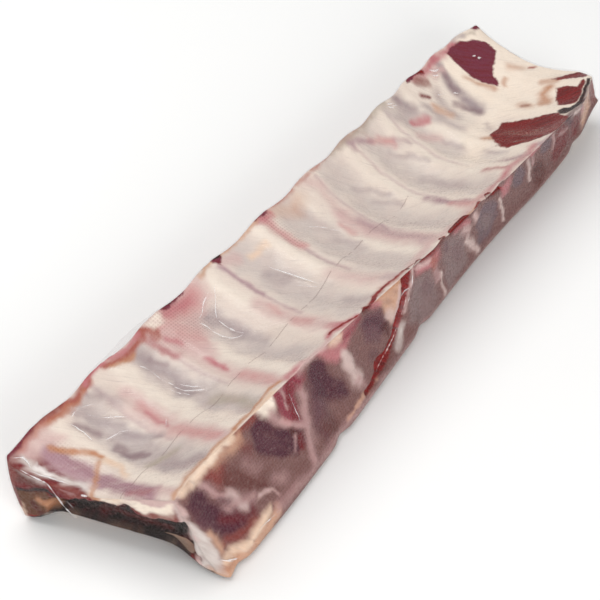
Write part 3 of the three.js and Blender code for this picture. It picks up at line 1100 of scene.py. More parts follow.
def trough_edge_marks() -> list[Mark]:
    """What shows along the trough's two edges and beside the loin end.

    Returns:
        The marks, the lowest first.
    """
    return TROUGH.rows(
        # Red and brown rim beside the loin end
        (Tone.BROWN_RED, FILLED, 2.2, 0.9, (-222, 1.03), (-203, 0.98), (-201, 0.86), (-199.6, 0.72),
         (-199, 0.58), (-206, 0.5), (-222, 0.5)),
        # Red stippled meat at the rib edge
        (Tone.BLUSH, FILLED, 5, 0.95, 3, (-119, 1.0), (-72, 1.0), (-76, 0.88), (-90, 0.8), (-98, 0.62),
         (-106, 0.58), (-116, 0.72)),
        (Tone.PINK, 10, 4, 0.9, (-108, 0.94), (-94, 0.92), (-84, 0.93)),
        (Tone.PINK, 9, 5, 0.6, (-104, 0.82), (-100, 0.72)),
        (Tone.ROSE, 6, 3, 0.8, (-100, 0.95), (-86, 0.94)),
        (Tone.RED_TAN, 5, 2, 0.95, (-119, 0.99), (-113, 0.94), (-115, 0.89)),
        (Tone.DEEP_PINK, 3, 1.8, 0.9, (-120, 0.94), (-118.4, 0.82), (-116, 0.73)),
        (Tone.ROSE, 3, 2, 0.7, (-112, 0.84), (-109, 0.76)),
        (Tone.PINK, 4.4, 2.4, 0.95, (-20, 0.94), (-18.6, 0.84), (-19, 0.7)),
        (Tone.ROSE, 5, 2.4, 0.9, (-21, 0.98), (-15, 0.97)),
        (Tone.MAUVE, 2.6, 1.8, 0.95, (-59.5, 0.92), (-59, 0.62)),
        (Tone.BLUSH, 6, 3, 0.7, (-56, 0.95), (-48, 0.92)),
        (Tone.TAN, 8, 5, 0.5, (-10, 0.96), (0, 0.9), (6, 0.93)),
        (Tone.WARM_FAT, 4, 2.4, 0.8, (-41, 0.88), (-31, 0.86)),
        (Tone.OLIVE_GREY, 3, 2, 0.7, (-70, 0.99), (-66, 0.985)),
        # Edge of the cut ribs
        (Tone.RED_TAN, 5, 1.8, 1, (-206, 0.97), (-190, 0.965), (-172, 0.97), (-156, 0.975)),
        (Tone.ORANGE_TAN, 2, 1.4, 0.5, (-196, 0.955), (-180, 0.95), (-162, 0.96)),
        (Tone.RED_BROWN, 2.6, 1.4, 1, (-212, 0.995), (-196, 0.99), (-176, 0.99)),
        (Tone.ROSE, 3.4, 1.6, 1, (-158, 0.985), (-146, 0.985)),
        (Tone.BLOOD, 2, 1.2, 0.8, (-157, 0.99), (-151, 0.99)),
        (Tone.RED_TAN, 4.4, 1.8, 1, (-146, 0.965), (-134, 0.955), (-120, 0.955)),
        (Tone.ORANGE_TAN, 2.4, 1.4, 0.8, (-143, 0.945), (-130, 0.925)),
        (Tone.ROSE, 2.4, 1.4, 0.9, (-148, 0.99), (-130, 0.985), (-120, 0.985)),
        (Tone.TAN, 2.4, 1.6, 0.9, (-72, 0.985), (-62, 0.985), (-40, 0.99), (-22, 0.99)),
        (Tone.RED_TAN, 2, 1.4, 0.7, (-10, 0.99), (40, 0.992), (84, 0.992)),
        (Tone.OLIVE_GREY, 3, 1.8, 0.7, (44, 0.985), (70, 0.985), (96, 0.985)),
        (Tone.PALE_CREAM, FILLED, 1.8, 1, 1.6, 0.4, (-113, 0.99), (-104, 0.99), (-102, 0.95), (-106, 0.915),
         (-112, 0.94)),
        # Beside the loin end
        (Tone.BLUSH, FILLED, 3, 0.8, (-212, 0.97), (-190, 0.95), (-186, 0.84), (-198, 0.84), (-206, 0.88)),
        (Tone.RED_BROWN, FILLED, 1.6, 0.9, (-216, 0.99), (-212, 0.9), (-207, 0.66), (-204, 0.52),
         (-207, 0.5), (-218, 0.8)),
        (Tone.PALE_GREY, 3.4, 1.6, 1, (-209, 0.93), (-206.4, 0.8), (-203, 0.66), (-200.6, 0.56)),
        # A white stroke painted as a highlight where the film glints beside the loin end
        (Tone.WHITE_FILM, 1.8, 1.2, 0.9, (-206.6, 0.86), (-205.4, 0.76)),
        (Tone.LILAC, 9, 2.6, 1, (-198, 0.84), (-197, 0.74), (-195, 0.62)),
        (Tone.LILAC, 8.4, 2.6, 1, (-195, 0.48), (-194, 0.34), (-193, 0.16)),
        (Tone.LILAC, 7, 2.6, 0.8, (-196, 0.62), (-195, 0.5)),
        (Tone.DEEP_PINK, 4, 2.4, 0.6, (-196, 0.3), (-193.6, 0.2)),
        (Tone.BLUSH, 5, 3, 0.8, (-191.6, 0.14), (-190, 0.06)),
        (Tone.ORANGE_TAN, 2.6, 1.5, 0.9, (-203, 0.5), (-198, 0.52), (-192, 0.57), (-188, 0.6)),
        (Tone.ORANGE_TAN, 3, 1.5, 1, (-196, 0.86), (-191, 0.78), (-187.6, 0.7), (-184.6, 0.61)),
        (Tone.WARM_FAT, 3, 1.8, 1, (-184.6, 0.58), (-184.6, 0.5), (-187, 0.4)),
        (Tone.PALE_CREAM, 5, 3, 0.9, (-187, 0.36), (-184, 0.12)),
        # Ridge
        (Tone.TAN, 3, 1.6, 1, (-191, 0.035), (-176, 0.03), (-160, 0.025), (-146, 0.02)),
        (Tone.WARM_FAT, 4, 1.6, 1, (-190, 0.0), (-165, -0.01), (-148, -0.01)),
        (Tone.ORANGE_TAN, 2.6, 1.3, 1, (-146, 0.015), (-132, 0.035), (-118, 0.05), (-110, 0.045)),
        (Tone.WARM_FAT, 4, 1.8, 1, (-134, 0.0), (-118, 0.01)),
        (Tone.ROSE, 4, 2.2, 1, (-106, 0.02), (-96, 0.02)),
        (Tone.BLUSH, 4, 2.2, 1, (-98, 0.01), (-74, 0.02)),
        (Tone.ROSE, 4, 2, 1, (-74, 0.045), (-64, 0.04), (-56, 0.015)),
        (Tone.RED_TAN, 2.6, 1.4, 0.9, (-46, 0.025), (-30, 0.045), (-14, 0.035)),
        (Tone.BLUSH, 5, 3, 0.9, (-6, 0.05), (12, 0.07), (26, 0.05), (46, 0.05)),
        (Tone.TAN, 3, 1.6, 1, (38, 0.02), (46, 0.015)),
        (Tone.ROSE, 5, 3, 0.8, (52, 0.04), (70, 0.05), (86, 0.045), (112, 0.04)),
        (Tone.MAUVE, 3, 2, 0.9, (112, 0.01), (124, 0.005)),
        (Tone.GREY_MAUVE, 3.4, 1.6, 1, (140, 0.01), (152, 0.01), (170, 0.005)),
    )


def near_face_marks() -> list[Mark]:
    """What shows on the sawn backbone from the loin end to the slit.

    Returns:
        The marks, the lowest first.
    """
    return FACE.rows(
        # Meat between the cells
        (Tone.DULL_BROWN, FILLED, 4, 1, (-174, 0.92), (-160, 0.9), (-145, 0.85), (-132, 0.5), (-138, 0.28),
         (-152, 0.36), (-163, 0.6)),
        (Tone.RED_BROWN, FILLED, 3, 1, (-175, 0.92), (-164, 0.92), (-160, 0.82), (-162, 0.68), (-170, 0.72)),
        (Tone.TAN, 5, 3.4, 0.7, (-166, 0.93), (-156, 0.9), (-148, 0.88)),
        (Tone.BROWN, 9, 4, 0.9, (-162, 0.7), (-154, 0.58), (-147, 0.44), (-141, 0.36)),
        (Tone.SEAM, 5, 3.4, 0.45, (-149, 0.66), (-145, 0.56)),
        (Tone.DULL_BROWN, FILLED, 3.4, 1, (-141, 0.46), (-126, 0.38), (-120, 0.24), (-134, 0.2),
         (-145, 0.28)),
        (Tone.SEAM, 4, 2.6, 0.6, (-138, 0.34), (-132, 0.27)),
        # First cell, from the loin end's edge down to the foot
        (Tone.DARK_CELL, FILLED, 2.6, 1, 1.6, -0.3, (-189, 0.84), (-184, 0.9), (-179, 0.84), (-176, 0.7),
         (-173, 0.58), (-167, 0.47), (-160, 0.42), (-154, 0.36), (-158, 0.26), (-170, 0.25), (-178, 0.27),
         (-180, 0.4), (-184, 0.5), (-188, 0.64)),
        (Tone.DIM_CELL, 4, 3, 0.7, (-186, 0.6), (-180, 0.42)),
        (Tone.BROWN_RED, 5, 3, 0.6, (-174, 0.42), (-164, 0.34), (-157, 0.3)),
        (Tone.RED_BROWN, 3, 1.8, 1, (-180, 0.27), (-170, 0.235), (-158, 0.225)),
        (Tone.TAN, 4.4, 2.6, 0.9, (-186, 0.47), (-183, 0.36), (-182, 0.27)),
        (Tone.SEAM, 3.4, 2, 1, 1.6, 0.4, (-177, 0.88), (-175, 0.77), (-170, 0.66), (-163, 0.57)),
        (Tone.PALE_SEAM, 4.4, 2.4, 0.9, 1.6, 0.4, (-166, 0.6), (-162, 0.5)),
        (Tone.SEAM, 5, 2.8, 0.85, (-169, 0.52), (-161, 0.45), (-154, 0.4)),
        (Tone.PALE_SEAM, 3.4, 2, 0.7, (-162, 0.41), (-159, 0.37)),
        (Tone.DIM_CELL, 4, 2.2, 0.7, (-171, 0.62), (-168, 0.57)),
        (Tone.BLUSH, 1.8, 1.2, 0.8, (-150, 0.36), (-142, 0.28), (-141, 0.2)),
        # Second cell
        (Tone.DARK_CELL, FILLED, 2.4, 1, 1.6, -0.4, (-140, 0.9), (-134, 0.93), (-127, 0.84), (-125, 0.72),
         (-119, 0.58), (-113, 0.5), (-112, 0.38), (-119, 0.33), (-128, 0.42), (-136, 0.56), (-142, 0.72)),
        (Tone.DIM_CELL, 4, 3, 0.6, (-137, 0.74), (-131, 0.58)),
        (Tone.RED_BROWN, 6, 2.4, 1, (-147, 0.95), (-142, 0.97), (-137, 0.97)),
        (Tone.TAN, 5, 2.6, 0.8, (-152, 0.95), (-147, 0.93)),
        (Tone.BROWN_RED, 4, 3, 0.5, (-148, 0.84), (-145, 0.76)),
        # Fat along the ridge
        (Tone.WARM_FAT, FILLED, 2.2, 1, (-193, 1.04), (-149, 1.04), (-150, 0.97), (-158, 0.955),
         (-168, 0.93), (-175, 0.91), (-184, 0.93), (-190, 0.95)),
        (Tone.FAT, 3, 2, 0.4, (-180, 0.99), (-166, 0.985), (-156, 0.99)),
        (Tone.FAT, FILLED, 2, 1, (-136, 1.04), (-119, 1.04), (-119, 0.92), (-122, 0.85), (-127, 0.87),
         (-133, 0.94)),
        # Red wedge with its seams
        (Tone.RASPBERRY, FILLED, 2, 1, (-120, 1.02), (-104, 1.02), (-106, 0.86), (-109, 0.7), (-111, 0.52),
         (-115, 0.52), (-119, 0.62), (-121, 0.8)),
        (Tone.BROWN_RED, 4, 2.6, 0.8, (-109, 0.98), (-112, 0.8), (-113, 0.6)),
        (Tone.SEAM, 1.4, 1.0, 1, (-115, 0.97), (-114.4, 0.86), (-115, 0.76)),
        (Tone.SEAM, 3.4, 1.8, 1, 1.6, 0.4, (-126, 0.86), (-123.6, 0.76), (-121, 0.66), (-115, 0.56),
         (-111, 0.5)),
        (Tone.PINK, 2.6, 1.8, 0.7, (-121, 0.72), (-118, 0.63)),
        (Tone.SEAM, 4.4, 2, 1, 1.6, 0.5, (-102, 1.0), (-103.6, 0.76), (-108, 0.5), (-110.6, 0.32),
         (-111.6, 0.18)),
        (Tone.SEAM, 5, 3.4, 0.6, (-104, 0.7), (-106, 0.5), (-106, 0.3)),
        (Tone.MAROON, 3, 1.8, 1, (-118.6, 0.54), (-116.4, 0.46)),
        (Tone.SEAM, 1.8, 1.2, 0.9, (-117.6, 0.47), (-120, 0.38)),
        (Tone.BROWN_RED, 3, 1.8, 1, (-115, 0.42), (-116, 0.34)),
        # Third cell
        (Tone.DIM_CELL, FILLED, 4, 1, (-99, 0.8), (-92, 0.5), (-88, 0.2), (-100, 0.16), (-103, 0.4)),
        (Tone.DARK_CELL, FILLED, 2.8, 1, 1.6, -0.3, (-98, 0.88), (-92, 0.95), (-85, 0.88), (-82, 0.66),
         (-76, 0.48), (-73, 0.32), (-82, 0.32), (-90, 0.46), (-98, 0.64)),
        (Tone.BROWN, 9, 4, 0.8, (-96, 0.3), (-91, 0.16)),
        (Tone.DULL_BROWN, 8, 4, 0.8, (-86, 0.3), (-78, 0.22)),
        (Tone.RASPBERRY, 5, 2.6, 1, (-106, 0.97), (-102, 0.9)),
        (Tone.BLUSH, 3.4, 1.8, 1, (-99, 1.02), (-92, 1.0), (-80, 0.99)),
        (Tone.ROSE, FILLED, 3.4, 0.9, (-86, 0.96), (-56, 1.0), (-60, 0.88), (-66, 0.78), (-76, 0.74),
         (-82, 0.84)),
        (Tone.DEEP_PINK, 5, 3.4, 0.8, (-78, 0.92), (-66, 0.86)),
        (Tone.RASPBERRY, 3.4, 2.2, 1, (-68, 0.9), (-60, 0.9), (-56, 0.94)),
        (Tone.WARM_FAT, 4, 2.4, 0.8, (-76, 0.97), (-70, 0.94)),
        # Fourth cell
        (Tone.DULL_BROWN, FILLED, 3.4, 1, (-66, 0.78), (-56, 0.9), (-44, 0.95), (-36, 0.8), (-35, 0.56),
         (-46, 0.38), (-62, 0.24), (-68, 0.5)),
        (Tone.DIM_CELL, FILLED, 3, 1, 1.6, -0.3, (-55, 0.88), (-46, 0.92), (-39, 0.8), (-36, 0.64),
         (-44, 0.5), (-54, 0.62)),
        (Tone.DARK_CELL, 5, 3, 0.8, (-50, 0.84), (-42, 0.74), (-39, 0.62)),
        (Tone.DARK_CELL, 6, 3, 0.5, (-52, 0.46), (-48, 0.38)),
        (Tone.MAROON, 5, 2.4, 0.8, (-37.6, 0.6), (-36, 0.52)),
        (Tone.PALE_SEAM, 4, 2.2, 1, 1.6, 0.4, (-71, 0.78), (-69, 0.66), (-68, 0.54)),
        (Tone.PALE_SEAM, 7, 2.8, 0.9, 1.6, 0.4, (-70, 0.62), (-67, 0.47), (-65, 0.34)),
        (Tone.SEAM, 4, 2.6, 0.7, (-66, 0.34), (-62, 0.24)),
        # Tan facet and the slit's edges
        (Tone.TAN, FILLED, 2, 1, (-43, 1.04), (-19, 1.04), (-20, 0.9), (-24, 0.78), (-28, 0.62),
         (-32, 0.56), (-34, 0.74), (-39, 0.9)),
        (Tone.ORANGE_TAN, 3, 1.8, 0.8, (-40, 1.0), (-28, 0.99), (-21, 0.99)),
        (Tone.PALE_SEAM, 5, 2.6, 0.8, (-33, 0.72), (-30, 0.6)),
        (Tone.ROSE, 4, 2.4, 0.8, (-45, 0.99), (-40, 0.92)),
        (Tone.BLUSH, 2.4, 1.4, 0.9, (-22.4, 0.9), (-24.6, 0.74), (-27.4, 0.6)),
        (Tone.BLUSH, 2, 1.3, 0.9, (-10.6, 0.96), (-11.6, 0.8), (-15, 0.66), (-19, 0.52)),
        (Tone.PALE_GREY, 6, 2.6, 0.7, (-24, 0.38), (-28, 0.24)),
        (Tone.TAN, 2.2, 1.2, 1, (-80, 0.12), (-66, 0.15), (-50, 0.19)),
        # Foot
        (Tone.TAN, 6, 2.4, 1, (-191, 0.05), (-178, 0.06), (-160, 0.07), (-146, 0.1)),
        (Tone.WARM_FAT, 3.4, 1.8, 1, 1.6, 0.5, (-184, 0.17), (-176, 0.155), (-166, 0.15), (-156, 0.17),
         (-150, 0.2)),
        (Tone.ORANGE_TAN, 5, 2.4, 0.6, (-186, 0.11), (-178, 0.09)),
        (Tone.PALE_GREY, FILLED, 1.8, 1, (-191.6, 0.74), (-189, 0.6), (-186.6, 0.4), (-185.4, 0.2),
         (-187, 0.06), (-193, 0.06)),
        (Tone.BLUSH, 1.8, 1.2, 1, (-191.4, 0.96), (-192, 0.6), (-193, 0.2)),
        (Tone.SEAM, 5, 3, 0.7, (-145, 0.12), (-118, 0.1), (-60, 0.06)),
    )


def far_face_marks() -> list[Mark]:
    """What shows on the sawn backbone from the slit to the shoulder end.

    Returns:
        The marks, the lowest first.
    """
    return FACE.rows(
        (Tone.ROSE, FILLED, 3, 0.8, (-8, 0.95), (4, 0.93), (12, 0.9), (12, 0.7), (4, 0.74), (-8, 0.82)),
        (Tone.GREY_MAUVE, FILLED, 3, 1, (-9, 0.76), (4, 0.7), (8, 0.5), (13, 0.2), (-4, 0.1), (-16, 0.3),
         (-15, 0.56)),
        (Tone.DIM_CELL, 7, 4, 0.4, (0, 0.56), (4, 0.44)),
        (Tone.RED_TAN, 4.4, 2.4, 0.9, (6, 0.84), (8, 0.76), (8, 0.68)),
        (Tone.BLUSH, 4, 2.4, 0.9, (-5, 0.92), (2, 0.88)),
        (Tone.SEAM, 5, 2.4, 0.9, (8.6, 0.62), (12, 0.46)),
        (Tone.PALE_SEAM, 2, 1.3, 1, 1.6, 0.4, (13.6, 0.52), (15.4, 0.36), (17.4, 0.15)),
        (Tone.GREY_MAUVE, FILLED, 2.8, 1, (17, 0.9), (26, 0.92), (34, 0.78), (39, 0.56), (43, 0.22),
         (22, 0.12), (18, 0.4), (16, 0.7)),
        (Tone.DIM_CELL, 3.4, 2.2, 0.8, (18.6, 0.88), (19.6, 0.76)),
        (Tone.DIM_CELL, 8, 4, 0.4, (28, 0.66), (32, 0.5)),
        (Tone.ROSE, 4, 2.6, 0.8, (28, 0.94), (36, 0.92), (40, 0.84)),
        (Tone.BLUSH, 5, 3, 0.8, (36, 0.8), (41, 0.7)),
        (Tone.PALE_SEAM, 4.4, 2.2, 1, 1.6, 0.4, (40, 0.6), (44, 0.5), (49, 0.32), (52, 0.2)),
        (Tone.DULL_MAUVE, FILLED, 2.2, 1, 1.6, -0.3, (50, 0.62), (52, 0.82), (56, 0.9), (64, 0.8),
         (70, 0.62), (72, 0.42), (66, 0.2), (54, 0.24), (53, 0.46)),
        (Tone.GREY_MAUVE, 8, 3.4, 0.7, (58, 0.6), (64, 0.4)),
        (Tone.BLUSH, 4.4, 2.6, 0.8, (46, 0.9), (49, 0.74)),
        (Tone.PALE_SEAM, 2.6, 1.5, 1, 1.6, 0.4, (71, 0.72), (75.6, 0.52), (80, 0.24)),
        (Tone.ROSE, FILLED, 3, 0.7, (70, 0.92), (80, 0.96), (84, 0.82), (82, 0.66), (74, 0.68)),
        (Tone.DULL_BROWN, FILLED, 2.8, 1, (80, 0.56), (88, 0.56), (97, 0.44), (100, 0.18), (84, 0.14),
         (82, 0.36)),
        (Tone.DULL_MAUVE, FILLED, 2, 1, 1.6, -0.3, (85, 0.9), (89, 0.97), (94, 0.9), (98, 0.7), (98, 0.54),
         (91, 0.56), (86, 0.72)),
        (Tone.MAROON, 2.6, 1.6, 1, (91, 1.0), (95, 0.98)),
        (Tone.PALE_SEAM, 2.6, 1.5, 1, 1.6, 0.4, (99, 0.92), (102, 0.7), (106, 0.46)),
        (Tone.SEAM, 2.4, 1.6, 1, (104, 0.92), (106, 0.74)),
        (Tone.ROSE, 4, 2.2, 0.9, (101, 0.99), (110, 0.99)),
        (Tone.BROWN, FILLED, 2.4, 1, (108, 0.7), (114, 0.66), (121, 0.48), (126, 0.22), (114, 0.18),
         (109, 0.42)),
        (Tone.MAROON, 5, 2.4, 0.6, (111, 0.62), (115, 0.5)),
        (Tone.DULL_MAUVE, FILLED, 1.8, 1, 1.6, -0.3, (113, 0.94), (119, 0.98), (124, 0.9), (124, 0.74),
         (118, 0.7), (113, 0.8)),
        (Tone.SEAM, 2.6, 1.5, 1, (125, 0.94), (127, 0.78), (129, 0.62)),
        (Tone.BROWN_RED, FILLED, 2.6, 1, (129, 0.96), (137, 0.92), (144, 0.66), (148, 0.36), (136, 0.24),
         (128, 0.4), (130, 0.66)),
        (Tone.SEAM, 3, 1.8, 0.8, (134, 0.82), (141, 0.72)),
        (Tone.DARK_CELL, 4.4, 2.2, 1, (138, 0.98), (144, 0.84), (148, 0.7)),
        (Tone.GREY_MAUVE, FILLED, 1.8, 1, (142, 1.02), (160, 1.02), (160, 0.9), (152, 0.84), (145, 0.86)),
        (Tone.PALE_SEAM, 3, 1.6, 1, (148, 0.92), (154, 0.88)),
        (Tone.BROWN_RED, FILLED, 2.6, 1, (148, 0.84), (158, 0.74), (164, 0.44), (160, 0.2), (150, 0.26),
         (148, 0.56)),
        (Tone.TAN, FILLED, 3, 1, (158, 0.96), (172, 0.92), (178, 0.6), (182, 0.26), (166, 0.2), (164, 0.5),
         (160, 0.76)),
        (Tone.ROSE, 3, 2, 0.7, (158, 0.84), (164, 0.62)),
        (Tone.RED_BROWN, 9, 3, 1, (174, 1.0), (183, 0.7), (189, 0.3)),
        (Tone.SEAM, 4, 3, 0.6, (-60, 0.06), (40, 0.06), (110, 0.06), (150, 0.08)),
    )


def loin_end_marks() -> list[Mark]:
    """What shows on the loin end, by its width and height in millimetres.

    Returns:
        The marks, the lowest first.
    """
    return LOIN.rows(
        # The slab's cut edge over the hollow, which is painted near black: painted shade over dark meat
        (Tone.BROWN_RED, FILLED, 1.5, 1, (28, 45), (-20, 40), (-62, 60), (-62, 30), (-44, 26), (-30, 29),
         (-10, 27), (4, 24), (28, 22)),
        (Tone.BLUSH, FILLED, 1.6, 1, (-8, 40), (-34, 40), (-62, 58), (-60, 40), (-50, 36), (-28, 34)),
        (Tone.FAT, FILLED, 1.3, 1, 2.2, (-13, 33), (-18, 35), (-32, 36), (-44, 36), (-54, 42), (-55, 33),
         (-48, 29.5), (-40, 29.5), (-33, 33), (-25, 30), (-18, 30)),
        (Tone.ORANGE_TAN, 3.6, 1.5, 1, (-10, 35), (-15, 33), (-19, 30)),
        (Tone.WARM_FAT, 3, 1.6, 0.8, (-22, 34), (-29, 34.5)),
        (Tone.RED_BROWN, 3, 1.6, 1, (-44, 30), (-50, 31), (-56, 34)),
        # Painted shade: the hollow under the slab filled near black and dented, with a maroon streak of
        # shaded meat
        (Tone.NEAR_BLACK, FILLED, 1.3, 1, 1.6, -4.0, (5, 20), (0, 23), (-9, 26), (-17, 27.4), (-24, 29),
         (-29, 29.4), (-32, 31), (-37, 28), (-43, 26.6), (-52, 30), (-60, 33), (-64, 9), (-48, 11),
         (-33, 11), (-18, 9), (-8, 5), (3, 5)),
        (Tone.MAROON, 4, 2.4, 0.7, (-26, 22), (-38, 21), (-50, 20)),
        # Painted reflection: an olive line where the film across the hollow's mouth catches light along its
        # lower rim
        (Tone.DULL_OLIVE, 1.6, 1.0, 0.8, (-10, 8.6), (-30, 12.4), (-50, 13), (-63, 10)),
        # Thick meat under the rib edge
        (Tone.BROWN_RED, FILLED, 1.6, 1, (28, 48), (8, 44), (-4, 40), (-6, 30), (0, 26), (8, 25), (28, 22)),
        (Tone.BROWN, FILLED, 2, 1, (24, 38), (12, 36), (8, 28), (22, 25)),
        (Tone.PALE_GREY, 6, 2.4, 0.75, (19, 42), (14, 36), (8, 33)),
        (Tone.RED_BROWN, 3, 1.6, 1, (22, 46), (21, 34), (21, 26)),
        (Tone.RED_BROWN, 4, 2, 1, (2, 32), (-6, 28.6), (-12, 28)),
        (Tone.SEAM, 2, 1.4, 0.7, (-2, 31), (-8, 30)),
        # Flap below, with its tinted rim, and painted shade in the gap above it
        (Tone.DULL_OLIVE, FILLED, 1.6, 1, (22, 21), (14, 22), (6, 24), (0, 18), (1, 8), (9, 4), (18, 1),
         (23, 6)),
        # Painted shade: a near-black line in the gap between the thick meat and the flap
        (Tone.NEAR_BLACK, 2.4, 1.2, 1, (22, 20.6), (14, 22.6), (6, 26), (-1, 21)),
        (Tone.WARM_FAT, FILLED, 1.2, 0.95, (22, 18.6), (17, 12), (16, 5.4), (20, 8)),
        (Tone.ORANGE_TAN, 4, 1.6, 0.8, (9, 17.4), (4, 15), (2, 13)),
        (Tone.MAROON, 2.2, 1.2, 0.9, (12, 14), (9, 8), (4, 7)),
        (Tone.BLOOD, 2.4, 1.2, 1, (23, 6), (20, 0.6), (12, 3), (3, 7), (-2, 9)),
        # Film plate beside the backbone
        (Tone.PALE_GREY, FILLED, 1.4, 1, (-57, 54), (-63, 30), (-76, -4), (-67, -4), (-61, 20), (-56, 40)),
        (Tone.BLUSH, 1.8, 1.1, 1, (-56, 52), (-59, 30), (-65, 4)),
        (Tone.TAN, 5, 2, 0.7, (-71, 4), (-76, 2)),
    )


def shoulder_end_marks() -> list[Mark]:
    """What shows on the shoulder end: fat with lean streaks and the cut ribs' meat below it.

    Returns:
        The marks, the lowest first.
    """
    return SHOULDER.rows(
        (Tone.FAT, 8, 3, 1, 2.4, (-50, 36), (0, 30), (34, 36)),
        (Tone.RED_MEAT, 8, 2.4, 1, 2.4, (-52, 29), (-36, 25), (-22, 25)),
        (Tone.BROWN_RED, 6, 2.4, 1, 2.4, (-18, 22), (4, 20), (24, 25)),
        (Tone.PALE_CREAM, 6.4, 1.4, 1, 1.6, 0.5, (2, 23), (9, 22)),
        (Tone.RED_TAN, 3, 1.4, 1, 1.6, -0.4, (3.4, 23), (7.6, 22.4)),
        (Tone.DARK_CELL, 4, 2, 1, (20, 29), (28, 31)),
        (Tone.WARM_FAT, 3.4, 2, 1, 2.4, (-52, 19), (-30, 18), (-10, 15), (25, 17)),
        (Tone.RED_BROWN, 4, 2.4, 0.8, (-50, 14), (-20, 12), (20, 13)),
    )


def cut_rib_marks(form: RackForm) -> list[Mark]:
    """The cut ends of the ribs on the rack's outer side, with meat and fat between them.

    Args:
        form: The rack's form.

    Returns:
        The marks, the lowest first.
    """
    marks = RIM.rows(
        (Tone.DULL_BROWN, 9, 5, 0.5, 3, (-215, 0.4), (-60, 0.44), (60, 0.4), (190, 0.42)),
        (Tone.WARM_FAT, 6, 4, 0.8, 3.4, (-215, 0.1), (-120, 0.15), (-60, 0.1), (60, 0.14), (190, 0.1)),
        (Tone.RED_TAN, 3, 2.4, 0.8, 2, (-215, 0.96), (-60, 0.97), (60, 0.96), (190, 0.96)),
    )
    for number, (rib, following) in enumerate(zip(form.ribs, (*form.ribs[1:], 196.0))):
        gap = following - rib
        lean = 0.03 * math.sin(2.4 * number)
        broad = 1.0 + 0.14 * math.sin(1.7 * number + 1.0)
        marks += RIM.rows(
            (Tone.BROWN, 8 * broad, 4, 0.8, 2.6, (rib + 0.3 * gap, 0.42), (rib + 0.8 * gap, 0.36 + lean)),
            (Tone.RASPBERRY, 6, 4, 0.8, 2.6, (rib + 0.32 * gap, 0.8), (rib + 0.66 * gap, 0.76 - lean)),
            (Tone.SEAM, 2.6 * broad, 2.2, 0.8, 2.6, (rib + 0.26 * gap, 0.6), (rib + 0.5 * gap, 0.56 + lean),
             (rib + 0.84 * gap, 0.62)),
            (Tone.WARM_FAT, 3, 2.4, 0.6, 2.6, (rib + 0.4 * gap, 0.9), (rib + 0.6 * gap, 0.88)),
            (Tone.SEAM, 11.6 * broad, 2.6, 1, 1.6, 0.5, (rib - 3.2, 0.64 - lean), (rib + 3.2, 0.66 + lean)),
            (Tone.TAN, 7.4 * broad, 2.4, 0.9, 1.4, (rib - 2.6, 0.64 - lean), (rib + 2.6, 0.66 + lean)),
            (Tone.RED_BROWN, 4 * broad, 2.8, 0.7, 1.6, (rib - 1.4, 0.64), (rib + 1.6, 0.66 + lean)),
        )
    return marks


def underside_marks(form: RackForm) -> list[Mark]:
    """Lean meat and fat on the hidden arch, laid along the ribs, and painted shade inside the arch at the
    loin end.

    Args:
        form: The rack's form.

    Returns:
        The marks, the lowest first.
    """
    marks = []
    for rib, following in zip(form.ribs, (*form.ribs[1:], 196.0)):
        gap = following - rib
        marks += UNDER.rows(
            (Tone.RED_BROWN, 0.42 * gap, 4, 1, 4, (rib + 0.4 * gap, 0.14), (rib + 0.5 * gap, 0.5),
             (rib + 0.4 * gap, 0.88)),
            (Tone.RED_MEAT, 0.16 * gap, 3, 0.7, 3, (rib + 0.5 * gap, 0.3), (rib + 0.56 * gap, 0.6)),
            (Tone.WARM_FAT, 5, 2.6, 0.9, 3, (rib, 0.2), (rib + 3, 0.5), (rib, 0.85)),
            (Tone.FAT, 2.4, 1.8, 0.8, 3, (rib + 0.2 * gap, 0.4), (rib + 0.3 * gap, 0.7)),
        )
    marks.append(UNDER.stroke(Tone.FAT, (-215, 0.93), (0, 0.95), (190, 0.93), width=9, soft=4, fray=4))
    marks.append(UNDER.stroke(Tone.WARM_FAT, (-215, 0.06), (0, 0.05), (190, 0.06), width=7, soft=3, fray=3))
    # Painted shade: the arch's mouth at the loin end filled near black
    marks.append(UNDER.patch(Tone.NEAR_BLACK, (-222, 1.06), (-202, 1.06), (-186, 0.1), (-184, -0.06),
                             (-222, -0.06), soft=4, fray=2))
    return marks


